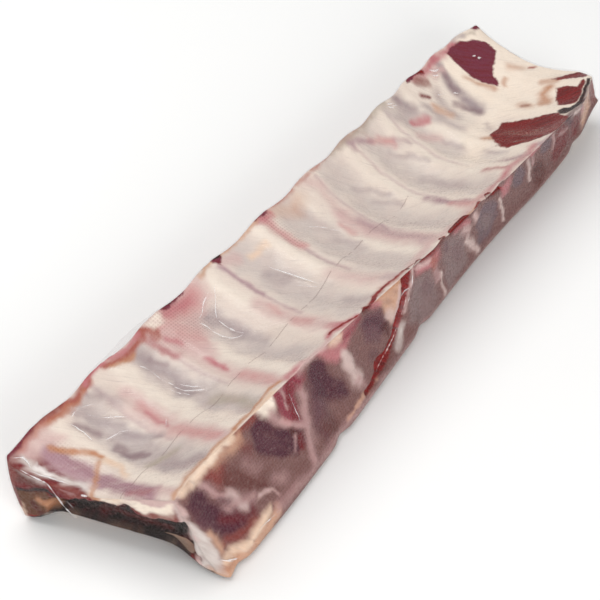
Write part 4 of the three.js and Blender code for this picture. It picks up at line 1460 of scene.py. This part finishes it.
INKS = (
    Ink("red_meat", Tone.RED_MEAT, Tone.MAROON, 0.8, 1.6, (
        TROUGH.patch(Tone.RED_MEAT, (121, 0.41), (117, 0.35), (113, 0.3), (111.5, 0.2), (116, 0.11),
                     (119, 0.07), (124, 0.03), (131, -0.01), (142, 0.01), (147, 0.1), (145.5, 0.14),
                     (143, 0.19), (141, 0.27), (138.5, 0.35), (136, 0.41), (128, 0.4)),
        TROUGH.patch(Tone.RED_MEAT, (171, 0.22), (172, 0.08), (179, 0.06), (178, 0.03), (164, 0.04),
                     (157, 0.06), (154.5, 0.16), (160, 0.2)),
        TROUGH.patch(Tone.RED_MEAT, (178, 0.3), (184, 0.23), (188.5, 0.15), (188, 0.03), (181, 0.05),
                     (179.5, 0.2)),
        TROUGH.stroke(Tone.RED_MEAT, (127, 1.0), (133, 0.985), width=3),
    )),
    Ink("dark_meat", Tone.PLUM, Tone.BROWN_RED, 0.9, 1.3, (
        TROUGH.patch(Tone.PLUM, (157.5, 0.97), (164, 0.975), (170.5, 0.96), (174, 0.94), (181, 0.9),
                     (184, 0.86), (183.5, 0.79), (177.5, 0.73), (171, 0.7), (167.5, 0.66), (164.5, 0.61),
                     (162, 0.59), (159.5, 0.62), (157.5, 0.69), (157, 0.75), (157.5, 0.82), (158, 0.9)),
        TROUGH.patch(Tone.PLUM, (-102, 1.03), (-80, 1.03), (-84, 0.985), (-93, 0.975), (-98, 0.955),
                     (-101, 0.975)),
        TROUGH.patch(Tone.PLUM, (-62, 1.03), (-51, 1.03), (-54, 0.965), (-58, 0.93), (-61, 0.97)),
        TROUGH.stroke(Tone.PLUM, (-22, 1.0), (-15, 0.995), width=2.4),
        TROUGH.stroke(Tone.PLUM, (-214, 0.99), (-190, 0.997), width=2),
        TROUGH.stroke(Tone.PLUM, (121, 0.995), (128, 0.995), width=2.4),
        TROUGH.stroke(Tone.PLUM, (185, 0.995), (189, 0.985), width=4),
    )),
    Ink("blood", Tone.BLOOD, Tone.MAROON, 0.5, 0.6, (
        FACE.patch(Tone.BLOOD, (-18.6, 1.04), (-10.6, 1.04), (-11.4, 0.9), (-13.4, 0.78), (-18.8, 0.8),
                   (-20, 0.93)),
        FACE.stroke(Tone.BLOOD, (-16.2, 0.84), (-17.4, 0.72), (-20.6, 0.6), (-24.4, 0.5), (-28.6, 0.42),
                    width=7.6),
        FACE.stroke(Tone.BLOOD, (-28, 0.43), (-34, 0.34), (-41, 0.27), (-50, 0.2), width=6.4),
        FACE.stroke(Tone.BLOOD, (-50, 0.2), (-62, 0.16), width=3.4),
        TROUGH.stroke(Tone.BLOOD, (-50, 0.01), (-44, 0.02), (-38, 0.035), width=2.2),
        TROUGH.stroke(Tone.BLOOD, (-36, 0.04), (-24, 0.05), (-12, 0.035), (-4, 0.012), width=1.5),
        FACE.stroke(Tone.BLOOD, (-14, 1.0), (-6, 0.97), (2, 0.945), (8, 0.93), (12, 0.935), (16, 0.98),
                    (19, 1.03), width=2),
        TROUGH.stroke(Tone.BLOOD, (16, 0.0), (20, 0.02), width=1.8),
        TROUGH.stroke(Tone.BLOOD, (24, 0.01), (31, 0.014), (39, 0.005), width=2.8),
        TROUGH.stroke(Tone.BLOOD, (46, 0.015), (50, 0.02), width=2.4),
        FACE.stroke(Tone.BLOOD, (58, 0.98), (64, 0.93), (72, 0.86), width=3),
        TROUGH.stroke(Tone.BLOOD, (-72, 0.05), (-62, 0.035), (-55, 0.01), width=1.7),
        FACE.stroke(Tone.BLOOD, (-50, 0.985), (-45, 0.975), width=2.4),
        FACE.stroke(Tone.BLOOD, (24, 0.985), (38, 0.985), width=3),
    )),
    # Near black: small dark clots, and painted shade in the valley beside the ridge under the shoulder's red
    # meat
    Ink("clot", Tone.NEAR_BLACK, Tone.MAROON, 0.7, 1.0, (
        # Painted shade in the valley beside the ridge, under the red meat
        TROUGH.patch(Tone.NEAR_BLACK, (148.5, 0.13), (151, 0.1), (152, 0.06), (158, 0.045), (168, 0.03),
                     (180, 0.025), (180, 0.0), (160, 0.008), (150, 0.02), (145, 0.04), (146, 0.08)),
        TROUGH.stroke(Tone.NEAR_BLACK, (-98, 1.0), (-94, 0.99), width=2),
        TROUGH.stroke(Tone.NEAR_BLACK, (-58, 0.995), (-55, 0.985), width=3),
        FACE.stroke(Tone.NEAR_BLACK, (137, 1.0), (142, 0.94), width=2.4),
    )),
)


@dataclass(frozen=True)
class WetMeatFinish:
    """Wet membrane, fat, bone and meat pressed against clear film."""

    fibre_turn: float = -54.0
    fibre_size: tuple[float, float, float] = (16.0, 1.5, 4.0)
    thread_turn: float = -48.0
    thread_size: tuple[float, float, float] = (7.0, 0.7, 4.0)
    score_size: tuple[float, float, float] = (9.0, 40.0, 1.0)
    emboss_pitch: float = 1.6
    bump_height: float = 0.0006
    roughness: tuple[float, float] = (0.24, 0.14)
    coat: tuple[float, float] = (0.04, 0.2)

    def _score_line(self, board: Board, place: Value) -> Value:
        """Where the broken score line along the trough shows, from 0 to 1."""
        score = board.attribute("score")
        gaps = board.noise(board.stretched(place, 0.0, self.score_size), 1.0, 2.0).step(0.42, 0.5)
        return (1.0 - (score * score).step(0.01, 0.16)) * gaps

    def _dots(self, board: Board, place: Value) -> Value:
        """The film's embossing: rows of small round dots, from 0 to 1."""
        parts = board.node("ShaderNodeSeparateXYZ", None, {0: place})
        turn = math.pi / self.emboss_pitch
        rows, columns = (Value(board, parts.outputs[axis]) * turn for axis in (0, 1))
        dots = rows.sine() * columns.sine()
        return dots * dots

    def make(self) -> bpy.types.Material:
        """Builds the material from what the painter stored.

        Returns:
            The material.
        """
        board = Board("wet_meat_and_membrane")
        place = board.attribute("surface", "Vector")
        colour = board.attribute("tone", "Color")
        pale = board.attribute("pale")
        emboss = board.attribute("emboss")
        cloud = board.noise(place, 0.11, 4.0)
        mottle = board.noise(place, 0.55, 4.0, 0.6)
        fibre = board.noise(board.stretched(place, self.fibre_turn, self.fibre_size), 1.0, 3.0, 0.6)
        thread = board.noise(board.stretched(place, self.thread_turn, self.thread_size), 1.0, 2.0)
        colour = board.mix(cloud.step(0.3, 0.75) * 0.22, colour, Tone.MAUVE.painted, "SOFT_LIGHT")
        colour = board.mix(fibre.step(0.55, 0.8) * pale * 0.32, colour, Tone.LILAC_GREY.painted)
        colour = board.mix(thread.step(0.58, 0.8) * pale * 0.3, colour, Tone.FAT.painted)
        colour = board.mix((1.0 - pale) * mottle.step(0.52, 0.78) * 0.3, colour, Tone.SEAM.painted)
        for ink in INKS:
            depth = board.attribute(ink.attribute) + (mottle - 0.5) * (2.0 * ink.jag)
            deep = depth.step(-ink.edge, ink.edge)
            shade = board.mix(fibre.step(0.35, 0.7) * 0.7, ink.tone.painted, ink.streaks.painted)
            colour = board.mix(deep, colour, shade)
        line = self._score_line(board, place)
        colour = board.mix(line * 0.32, colour, Tone.DULL_BROWN.painted)
        dots = self._dots(board, place)
        colour = board.mix(dots * emboss * 0.62, colour, Tone.PALE_GREY.linear, "MULTIPLY")
        height = fibre * pale * 0.8 + thread * 0.3 + mottle * 0.5 + dots * emboss * 0.5 - line * 0.6
        feeds = {"Strength": 0.55, "Distance": self.bump_height, "Height": height}
        bump = board.one("ShaderNodeBump", None, feeds)
        rough = self.roughness[0] + mottle.step(0.35, 0.75) * self.roughness[1]
        return board.finish({
            "Base Color": colour, "Roughness": rough, "Normal": bump,
            "Coat Weight": pale * self.coat[1] + self.coat[0], "Coat Roughness": 0.08,
            "Specular IOR Level": 0.12,
        })


@dataclass(frozen=True)
class FilmFinish:
    """Clear film: thin and hardly seen, or bunched into folds whose near-white tone is a painted highlight.
    """

    name: str
    tone: tuple[float, float, float]
    alpha: float
    roughness: float

    def make(self) -> bpy.types.Material:
        """Builds the material.

        Returns:
            The material.
        """
        board = Board(self.name)
        place = board.one("ShaderNodeTexCoord", output="Object")
        ripple = board.noise(place, 140.0, 3.0)
        bump = board.one("ShaderNodeBump", None, {"Strength": 0.25, "Distance": 0.0005, "Height": ripple})
        return board.finish({
            "Base Color": self.tone, "Alpha": self.alpha, "Roughness": self.roughness, "Normal": bump,
            "Specular IOR Level": 0.8,
        })


@dataclass
class Rack:
    """The rack of ribs: one closed body of meat, bone, fat and membrane."""

    form: RackForm
    offset: np.ndarray
    cuts: CutBox = CutBox()
    smoothing: int = 5
    under_film: float = 0.3
    slit_depth: float = 3.2
    far_cream: float = 0.6
    lumps: tuple[float, float] = (0.25, 0.15)

    def build(self) -> bpy.types.Object:
        """Shapes, paints and dresses the rack.

        Returns:
            The finished piece.
        """
        body = ShapedBody("rack_of_ribs", self.form, self.cuts, self.smoothing).shape()
        painter = Painter(body.side, body.chart, body.places)
        self._paint(painter)
        body.write("tone", "FLOAT_COLOR", np.column_stack([painter.colour, np.ones(len(body.side))]))
        along = np.where(body.side < Side.LOIN_END.number, body.places[:, 0], body.places[:, 2])
        surface = np.column_stack([along, body.girth(), 0.0 * along])
        body.write("surface", "FLOAT_VECTOR", surface)
        relief = painter.relief - self.under_film
        for ink in INKS:
            depth = painter.depth(ink.marks)
            body.write(ink.attribute, "FLOAT", depth)
            if ink.name == "blood":
                on_face = body.side == Side.SAWN_FACE.number
                relief = relief - self.slit_depth * on_face * rising(depth, -1.0, 1.8)
        body.write("score", "FLOAT", self._score(body))
        lightness = painter.colour @ np.array([0.21, 0.72, 0.07])
        body.write("pale", "FLOAT", rising(lightness, 0.2, 0.5))
        body.write("emboss", "FLOAT", self._emboss(body, lightness))
        relief = relief + self.lumps[0] * Grain(21).layered(body.places, 6.0) * rising(lightness, 0.2, 0.5)
        relief = relief + self.lumps[1] * Grain(22).layered(body.places, 3.0)
        body.swell(relief)
        body.settle(self.offset)
        body.piece.data.materials.append(WetMeatFinish().make())
        return body.piece

    def _paint(self, painter: Painter) -> None:
        """Lays the ground tones and the marks.

        Args:
            painter: What holds the colours.
        """
        for side, tone in ((Side.TROUGH, Tone.CREAM), (Side.SAWN_FACE, Tone.DULL_BROWN),
                           (Side.RIB_SIDE, Tone.RED_BROWN), (Side.UNDERSIDE, Tone.TAN),
                           (Side.LOIN_END, Tone.BROWN_RED), (Side.SHOULDER_END, Tone.RED_TAN)):
            painter.fill(side, tone)
        far = rising(painter.places[:, 0], -60, 120) * (painter.side == Side.TROUGH.number)
        cream = np.array(Tone.PALE_CREAM.painted)
        painter.colour = blend(painter.colour, cream, self.far_cream * far[:, None])
        for marks in (membrane_marks, rib_band_marks, shoulder_marks, trough_edge_marks, near_face_marks,
                      far_face_marks, loin_end_marks, shoulder_end_marks):
            painter.paint(marks())
        for marks in (cut_rib_marks, underside_marks):
            painter.paint(marks(self.form))

    def _score(self, body: ShapedBody) -> np.ndarray:
        """Millimetres to the thin score line along the trough, with a sign.

        Args:
            body: The shaped rack.

        Returns:
            Millimetres for each vertex.
        """
        x, away = body.chart.T
        share = np.interp(x, (-205, -125, -60, -50, 0, 50, 60), (0.33, 0.33, 0.36, 0.38, 0.48, 0.5, 0.52))
        offset = np.clip(away - share * Side.TROUGH.span, -5.0, 5.0)
        on_line = (body.side == Side.TROUGH.number) & (x > -205) & (x < 55)
        return np.where(on_line, offset, 5.0)

    def _emboss(self, body: ShapedBody, lightness: np.ndarray) -> np.ndarray:
        """Where the film's embossing shows: on dark cells and on the red stippled meat.

        Args:
            body: The shaped rack.
            lightness: Each vertex's lightness.

        Returns:
            A share for each vertex.
        """
        x, away = body.chart.T
        red = hump(x, -100, 17) * rising(away, 62, 74) + hump(x, -18, 5) * rising(away, 58, 70)
        lilac = hump(x, -195, 6) * rising(away, 10, 20) * falling(away, 78, 86)
        trough = (body.side == Side.TROUGH.number) * np.clip(red + 0.8 * lilac, 0.0, 1.0)
        dark = (body.side == Side.SAWN_FACE.number) * falling(lightness, 0.14, 0.3)
        return np.clip(trough + dark, 0.0, 1.0)


@dataclass
class Bag:
    """The clear bag, a closed body that clings to the rack."""

    form: RackForm
    offset: np.ndarray
    cuts: CutBox = CutBox(along=(20, 18), across=(80,), up=(40,))
    smoothing: int = 5
    standing_off: float = 0.5
    ripple: float = 0.35
    bulge: float = 3.0
    finish: FilmFinish = FilmFinish("clear_film", (0.34, 0.26, 0.25), 0.06, 0.08)

    def build(self) -> bpy.types.Object:
        """Shapes the bag with its low ripples and the loose bulge at the rib edge.

        Returns:
            The finished piece.
        """
        body = ShapedBody("clear_bag", self.form, self.cuts, self.smoothing).shape()
        x = body.places[:, 0]
        girth = body.girth()
        ripple = Grain(31).layered(body.places * (1.0, 0.45, 0.45), 7.0)
        bulge = self.bulge * hump(x, -128, 13) * hump(girth, 96, 5)
        body.swell(self.standing_off + self.ripple * np.abs(ripple) + bulge)
        body.settle(self.offset)
        body.piece.data.materials.append(self.finish.make())
        return body.piece


# Folds of film with real relief, laid where the bag glints; their near-white film is a painted highlight
GLINT_CREASES = (
    TROUGH.fold(0.5, (-42, 0.78), (-40, 0.7), (-38.4, 0.6), (-37, 0.5), (-36.8, 0.44), (-38.5, 0.42)),
    TROUGH.fold(0.35, (-44, 0.57), (-42, 0.52), (-40, 0.46), (-38.8, 0.42)),
    TROUGH.fold(0.55, (-93, 0.8), (-92.8, 0.72), (-92.4, 0.64), (-91, 0.58), (-88, 0.555), (-85, 0.54)),
    TROUGH.fold(0.5, (-85.5, 0.73), (-86.2, 0.66), (-85.8, 0.6), (-84.4, 0.545)),
    TROUGH.fold(0.4, (-92, 0.81), (-88, 0.825), (-83, 0.86), (-76, 0.88)),
    TROUGH.fold(0.35, (-86, 0.73), (-82, 0.78), (-77, 0.82), (-72, 0.87)),
    TROUGH.fold(0.5, (-133, 0.86), (-131, 0.78), (-132, 0.7), (-130.4, 0.62)),
    TROUGH.fold(0.6, (-131, 0.62), (-130, 0.55), (-127, 0.49), (-125, 0.43)),
    TROUGH.fold(0.4, (-128.4, 0.6), (-127, 0.54), (-124.5, 0.48)),
    TROUGH.fold(0.4, (-134, 0.62), (-132.6, 0.56), (-131, 0.5)),
    TROUGH.fold(0.45, (-171, 0.86), (-167, 0.79), (-162, 0.71), (-157, 0.65)),
    TROUGH.fold(0.4, (-175, 0.68), (-171, 0.665), (-167, 0.65), (-164, 0.61)),
    TROUGH.fold(0.35, (-178, 0.9), (-173, 0.92), (-168, 0.9), (-164, 0.86)),
    TROUGH.fold(0.4, (-180, 0.88), (-179, 0.8), (-180, 0.72)),
    TROUGH.fold(0.6, (-212, 0.96), (-209, 0.93), (-208.6, 0.89), (-210, 0.86)),
    TROUGH.fold(0.4, (-211, 0.86), (-208, 0.78), (-206, 0.7), (-204, 0.62)),
    TROUGH.fold(0.35, (-209, 0.8), (-206.6, 0.74), (-205, 0.68)),
    TROUGH.fold(0.7, (97, 0.975), (100, 0.965), (103, 0.95)),
    TROUGH.fold(0.45, (99, 0.95), (102, 0.94)),
    TROUGH.fold(0.9, (138, 0.96), (141, 0.93), (144, 0.92)),
    TROUGH.fold(0.8, (137, 0.93), (140, 0.9)),
    TROUGH.fold(0.7, (138, 0.775), (140, 0.75)),
    TROUGH.fold(0.7, (130, 0.84), (134, 0.81)),
    TROUGH.fold(0.8, (168, 0.84), (169.6, 0.825)),
    TROUGH.fold(0.9, (169.4, 0.81), (171, 0.79)),
    TROUGH.fold(0.8, (96, 0.965), (99, 0.94)),
    TROUGH.fold(0.3, (-150, 0.48), (-154, 0.44)),
    TROUGH.fold(0.3, (-4, 0.78), (2, 0.72), (6, 0.64)),
    FACE.fold(0.5, (-187, 0.25), (-184, 0.2), (-180, 0.15), (-177, 0.1)),
    FACE.fold(0.35, (-184, 0.2), (-181, 0.15), (-179, 0.12)),
    FACE.fold(0.45, (-161, 0.17), (-155, 0.155), (-150, 0.15), (-145, 0.14)),
    FACE.fold(0.5, (-23, 0.79), (-20, 0.815), (-17, 0.8), (-15, 0.76)),
    FACE.fold(0.35, (-12, 1.0), (-12.6, 0.88), (-14, 0.76), (-18, 0.62)),
    FACE.fold(0.3, (-112, 0.9), (-112, 0.7), (-111, 0.55)),
    LOIN.fold(0.7, (16, 49), (9, 45), (5, 36), (2, 30), (-1, 24), (-4, 18), (-9, 13)),
    LOIN.fold(0.4, (12, 44), (7, 37), (4, 30)),
    LOIN.fold(0.8, (-12, 34), (-15, 36)),
    LOIN.fold(0.35, (-1, 22), (-5, 24), (-8, 20), (-4, 17)),
)

SLIT_LIP = (
    FACE.fold(0.34, (-28, 0.5), (-34, 0.4), (-43, 0.31), beads=0.7),
    FACE.fold(0.3, (-36, 0.4), (-44, 0.32), (-53, 0.25), beads=0.8),
    FACE.fold(0.34, (-19, 0.74), (-21, 0.64), (-25, 0.56), beads=0.7),
)


@dataclass
class Creases:
    """Raised folds that lie on the bag, joined in one piece."""

    name: str
    form: RackForm
    offset: np.ndarray
    creases: tuple[Crease, ...]
    finish: FilmFinish
    steps: int = 28
    sides: int = 8
    standing_off: float = 0.7
    rounding: float = 0.04
    wobble: float = 0.5
    beads_turn: float = 2.2
    flatness: float = 1.2

    def _on_surface(self, crease: Crease, spots: np.ndarray) -> np.ndarray:
        """Places on the bag for places along and across a side.

        Args:
            crease: The fold.
            spots: Rows of places on its side.

        Returns:
            Rows of X, Y and Z in millimetres.
        """
        x, share = spots.T
        if crease.side is Side.LOIN_END:
            end = self.form.loin_end + self.form.loin_slant(x) - self.standing_off
            across, rim = self.form.trough(np.full(80, self.form.loin_end + 4.0), np.linspace(0.0, 1.0, 80))
            order = np.argsort(across)
            top = np.interp(x, across[order], rim[order]) + self.standing_off
            return np.stack([end, x, np.minimum(share, top)], axis=-1)
        if crease.side is Side.TROUGH:
            y, z = self.form.trough(x, share)
            return np.stack([x, y, z + self.standing_off], axis=-1)
        y, z = self.form.sawn_face(x, share)
        return np.stack([x, y - self.standing_off, z + 0.2], axis=-1)

    def _cut_cylinder(self) -> bpy.types.Object:
        """A cylinder of radius and length one, cut along its length."""
        deselect_all()
        bpy.ops.mesh.primitive_cylinder_add(vertices=self.sides, radius=1.0, depth=1.0, location=(0, 0, 0.5))
        piece = bpy.context.object
        bpy.ops.object.transform_apply(location=True)
        bpy.context.tool_settings.mesh_select_mode = (False, True, False)
        bpy.ops.object.mode_set(mode="EDIT")
        bpy.ops.mesh.select_all(action="DESELECT")
        bpy.ops.object.mode_set(mode="OBJECT")
        for edge in piece.data.edges:
            start, end = (piece.data.vertices[number].co for number in edge.vertices)
            edge.select = abs(start.z - end.z) > 0.5
        bpy.ops.object.mode_set(mode="EDIT")
        bpy.ops.mesh.subdivide(number_cuts=self.steps - 1, smoothness=0.0)
        bpy.ops.object.mode_set(mode="OBJECT")
        return piece

    def _route(self, crease: Crease, share: np.ndarray) -> tuple[np.ndarray, float]:
        """Places on a fold's side along its route, its bends rounded.

        Args:
            crease: The fold.
            share: Shares of the way along it.

        Returns:
            Rows of places on the side, and the route's length in millimetres.
        """
        points = np.array(crease.points, float)
        lengths = np.linalg.norm(np.diff(points, axis=0) * (1.0, crease.side.span), axis=1)
        knots = np.concatenate([[0.0], np.cumsum(lengths)]) / lengths.sum()
        bends = [np.interp(np.clip(share + shift, 0, 1), knots, points[:, axis])
                 for shift in (-self.rounding, 0.0, self.rounding) for axis in (0, 1)]
        return np.stack([sum(bends[0::2]) / 3.0, sum(bends[1::2]) / 3.0], axis=-1), lengths.sum()

    def _lay(self, crease: Crease, seed: int) -> bpy.types.Object:
        """Makes one fold from a cylinder that is laid on its route.

        Args:
            crease: The fold.
            seed: The seed of its wobble and its thickness.

        Returns:
            The fold.
        """
        piece = self._cut_cylinder()
        places = coordinates(piece.data)
        share = places[:, 2]
        spots, length = self._route(crease, share)
        line = np.column_stack([share * length, np.full(len(share), 7.0 * seed)])
        spots += self.wobble * Grain(41 + seed).layered(line, 5.0)[:, None] * (1.0, 1.0 / crease.side.span)
        points = np.array(crease.points, float)
        centre = self._on_surface(crease, spots)
        ahead = self._on_surface(crease, spots + 0.01 * (points[-1] - points[0])) - centre
        ahead /= np.linalg.norm(ahead, axis=1)[:, None]
        outwards = {Side.TROUGH: (0, 0, 1), Side.SAWN_FACE: (0, -1, 0.2), Side.LOIN_END: (-1, 0, 0)}
        beside = np.cross(ahead, np.array(outwards[crease.side], float))
        beside /= np.linalg.norm(beside, axis=1)[:, None]
        swell = 1.0 + crease.beads * np.sin(share * length * self.beads_turn)
        swell = swell * np.clip(0.4 + 0.9 * Grain(51 + seed).layered(line, 2.6), 0.06, 1.1)
        radius = crease.radius * np.sqrt(np.clip(4.0 * share * (1.0 - share), 0.004, 1.0)) * swell
        round_place = places[:, :1] * beside * self.flatness + places[:, 1:2] * np.cross(beside, ahead)
        move_vertices(piece.data, (centre + radius[:, None] * round_place + self.offset) * MILLIMETRE)
        choose(piece)
        bpy.ops.object.mode_set(mode="EDIT")
        bpy.ops.mesh.select_all(action="SELECT")
        bpy.ops.mesh.normals_make_consistent(inside=False)
        bpy.ops.object.mode_set(mode="OBJECT")
        return piece

    def build(self) -> bpy.types.Object:
        """Lays every fold and joins them.

        Returns:
            The finished piece.
        """
        pieces = [self._lay(crease, seed) for seed, crease in enumerate(self.creases)]
        deselect_all()
        for piece in pieces:
            piece.select_set(True)
        bpy.context.view_layer.objects.active = pieces[0]
        bpy.ops.object.join()
        joined = bpy.context.object
        joined.name = joined.data.name = self.name
        bpy.ops.object.shade_smooth()
        joined.data.materials.append(self.finish.make())
        return joined


@dataclass(frozen=True)
class Studio:
    """The pale floor, the soft lights and the camera."""

    camera_place: tuple[float, float, float] = (-0.5315, -0.353, 0.639)
    azimuth: float = -54.0
    elevation: float = 45.0
    focal_length: float = 105.2
    floor_size: float = 6.0
    floor_tone: tuple[float, float, float] = (0.9, 0.9, 0.89)
    floor_height: float = -0.001
    sky: float = 0.45
    key_power: float = 10.0
    fill_power: float = 13.0

    def build(self) -> None:
        """Sets up what isn't part of the object."""
        self._floor()
        self._sky()
        self._lamp("key", (-0.1, 0.5, 1.1), (0, 0, 0), 1.1, self.key_power)
        self._lamp("fill", (-0.7, -1.2, 0.6), (0, 0, 0.02), 0.9, self.fill_power)
        self._camera()

    def _floor(self) -> None:
        """A plain pale floor."""
        deselect_all()
        bpy.ops.mesh.primitive_plane_add(size=self.floor_size, location=(0, 0, self.floor_height))
        floor = bpy.context.object
        floor.name = "floor"
        board = Board("pale_floor")
        floor.data.materials.append(board.finish({"Base Color": self.floor_tone, "Roughness": 0.7}))

    def _sky(self) -> None:
        """Even white light from all round."""
        world = bpy.data.worlds.new("white_sky")
        world.use_nodes = True
        inputs = world.node_tree.nodes["Background"].inputs
        inputs["Color"].default_value = (1.0, 1.0, 1.0, 1.0)
        inputs["Strength"].default_value = self.sky
        bpy.context.scene.world = world
        bpy.context.scene.view_settings.view_transform = "Standard"

    def _lamp(self, name: str, place: Sequence[float], aim: Sequence[float], size: float,
              power: float) -> None:
        """A square soft light.

        Args:
            name: Its name.
            place: Where it hangs, in metres.
            aim: What it points at.
            size: Its side, in metres.
            power: Its power, in watts.
        """
        light = bpy.data.lights.new(name, "AREA")
        light.size = size
        light.energy = power
        lamp = bpy.data.objects.new(name, light)
        lamp.location = place
        lamp.rotation_euler = (Vector(aim) - Vector(place)).to_track_quat("-Z", "Y").to_euler()
        bpy.context.scene.collection.objects.link(lamp)

    def _camera(self) -> None:
        """The camera at the photograph's angle."""
        camera = bpy.data.objects.new("camera", bpy.data.cameras.new("camera"))
        camera.data.lens = self.focal_length
        camera.location = self.camera_place
        camera.rotation_euler = (math.radians(90.0 - self.elevation), 0.0, math.radians(self.azimuth))
        bpy.context.scene.collection.objects.link(camera)
        bpy.context.scene.camera = camera


def place_of(form: RackForm) -> np.ndarray:
    """Millimetres from the form's frame to the part's frame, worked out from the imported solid.

    Args:
        form: The rack's form.

    Returns:
        X, Y and Z in millimetres.
    """
    station, across, up = np.meshgrid(
        np.linspace(form.loin_end, form.shoulder_end, 300), np.linspace(0, 1, 25), np.linspace(0, 1, 25)
    )
    points = form.point(station.ravel(), across.ravel(), up.ravel())
    low, high = (np.array(corner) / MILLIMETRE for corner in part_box(NODE))
    offset = (low + high) / 2.0 - (points.min(axis=0) + points.max(axis=0)) / 2.0
    offset[2] = 0.0
    return offset


def hand_over(piece: bpy.types.Object) -> None:
    """Ties a piece to its body, and reports it.

    Args:
        piece: The piece.
    """
    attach(piece, BODY)
    LOG.info("%s: %d faces", piece.name, len(piece.data.polygons))


def main() -> None:
    """Builds the rack, its bag and the studio."""
    logging.basicConfig(level=logging.INFO)
    form = RackForm()
    offset = place_of(form)
    LOG.info("offset %s", offset)
    rack = Rack(form, offset).build()
    hand_over(rack)
    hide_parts(NODE)
    hand_over(Bag(form, offset).build())
    # Near-white film on the folds: painted highlights where the bag glints
    glint_film = FilmFinish("bunched_glint_film", (0.97, 0.95, 0.95), 0.36, 0.15)
    hand_over(Creases("bag_creases", form, offset, GLINT_CREASES, glint_film).build())
    lip = FilmFinish("wet_lip", Tone.BLUSH.linear, 1.0, 0.2)
    hand_over(Creases("slit_lip", form, offset, SLIT_LIP, lip).build())
    Studio().build()


if __name__ == "__main__":
    main()
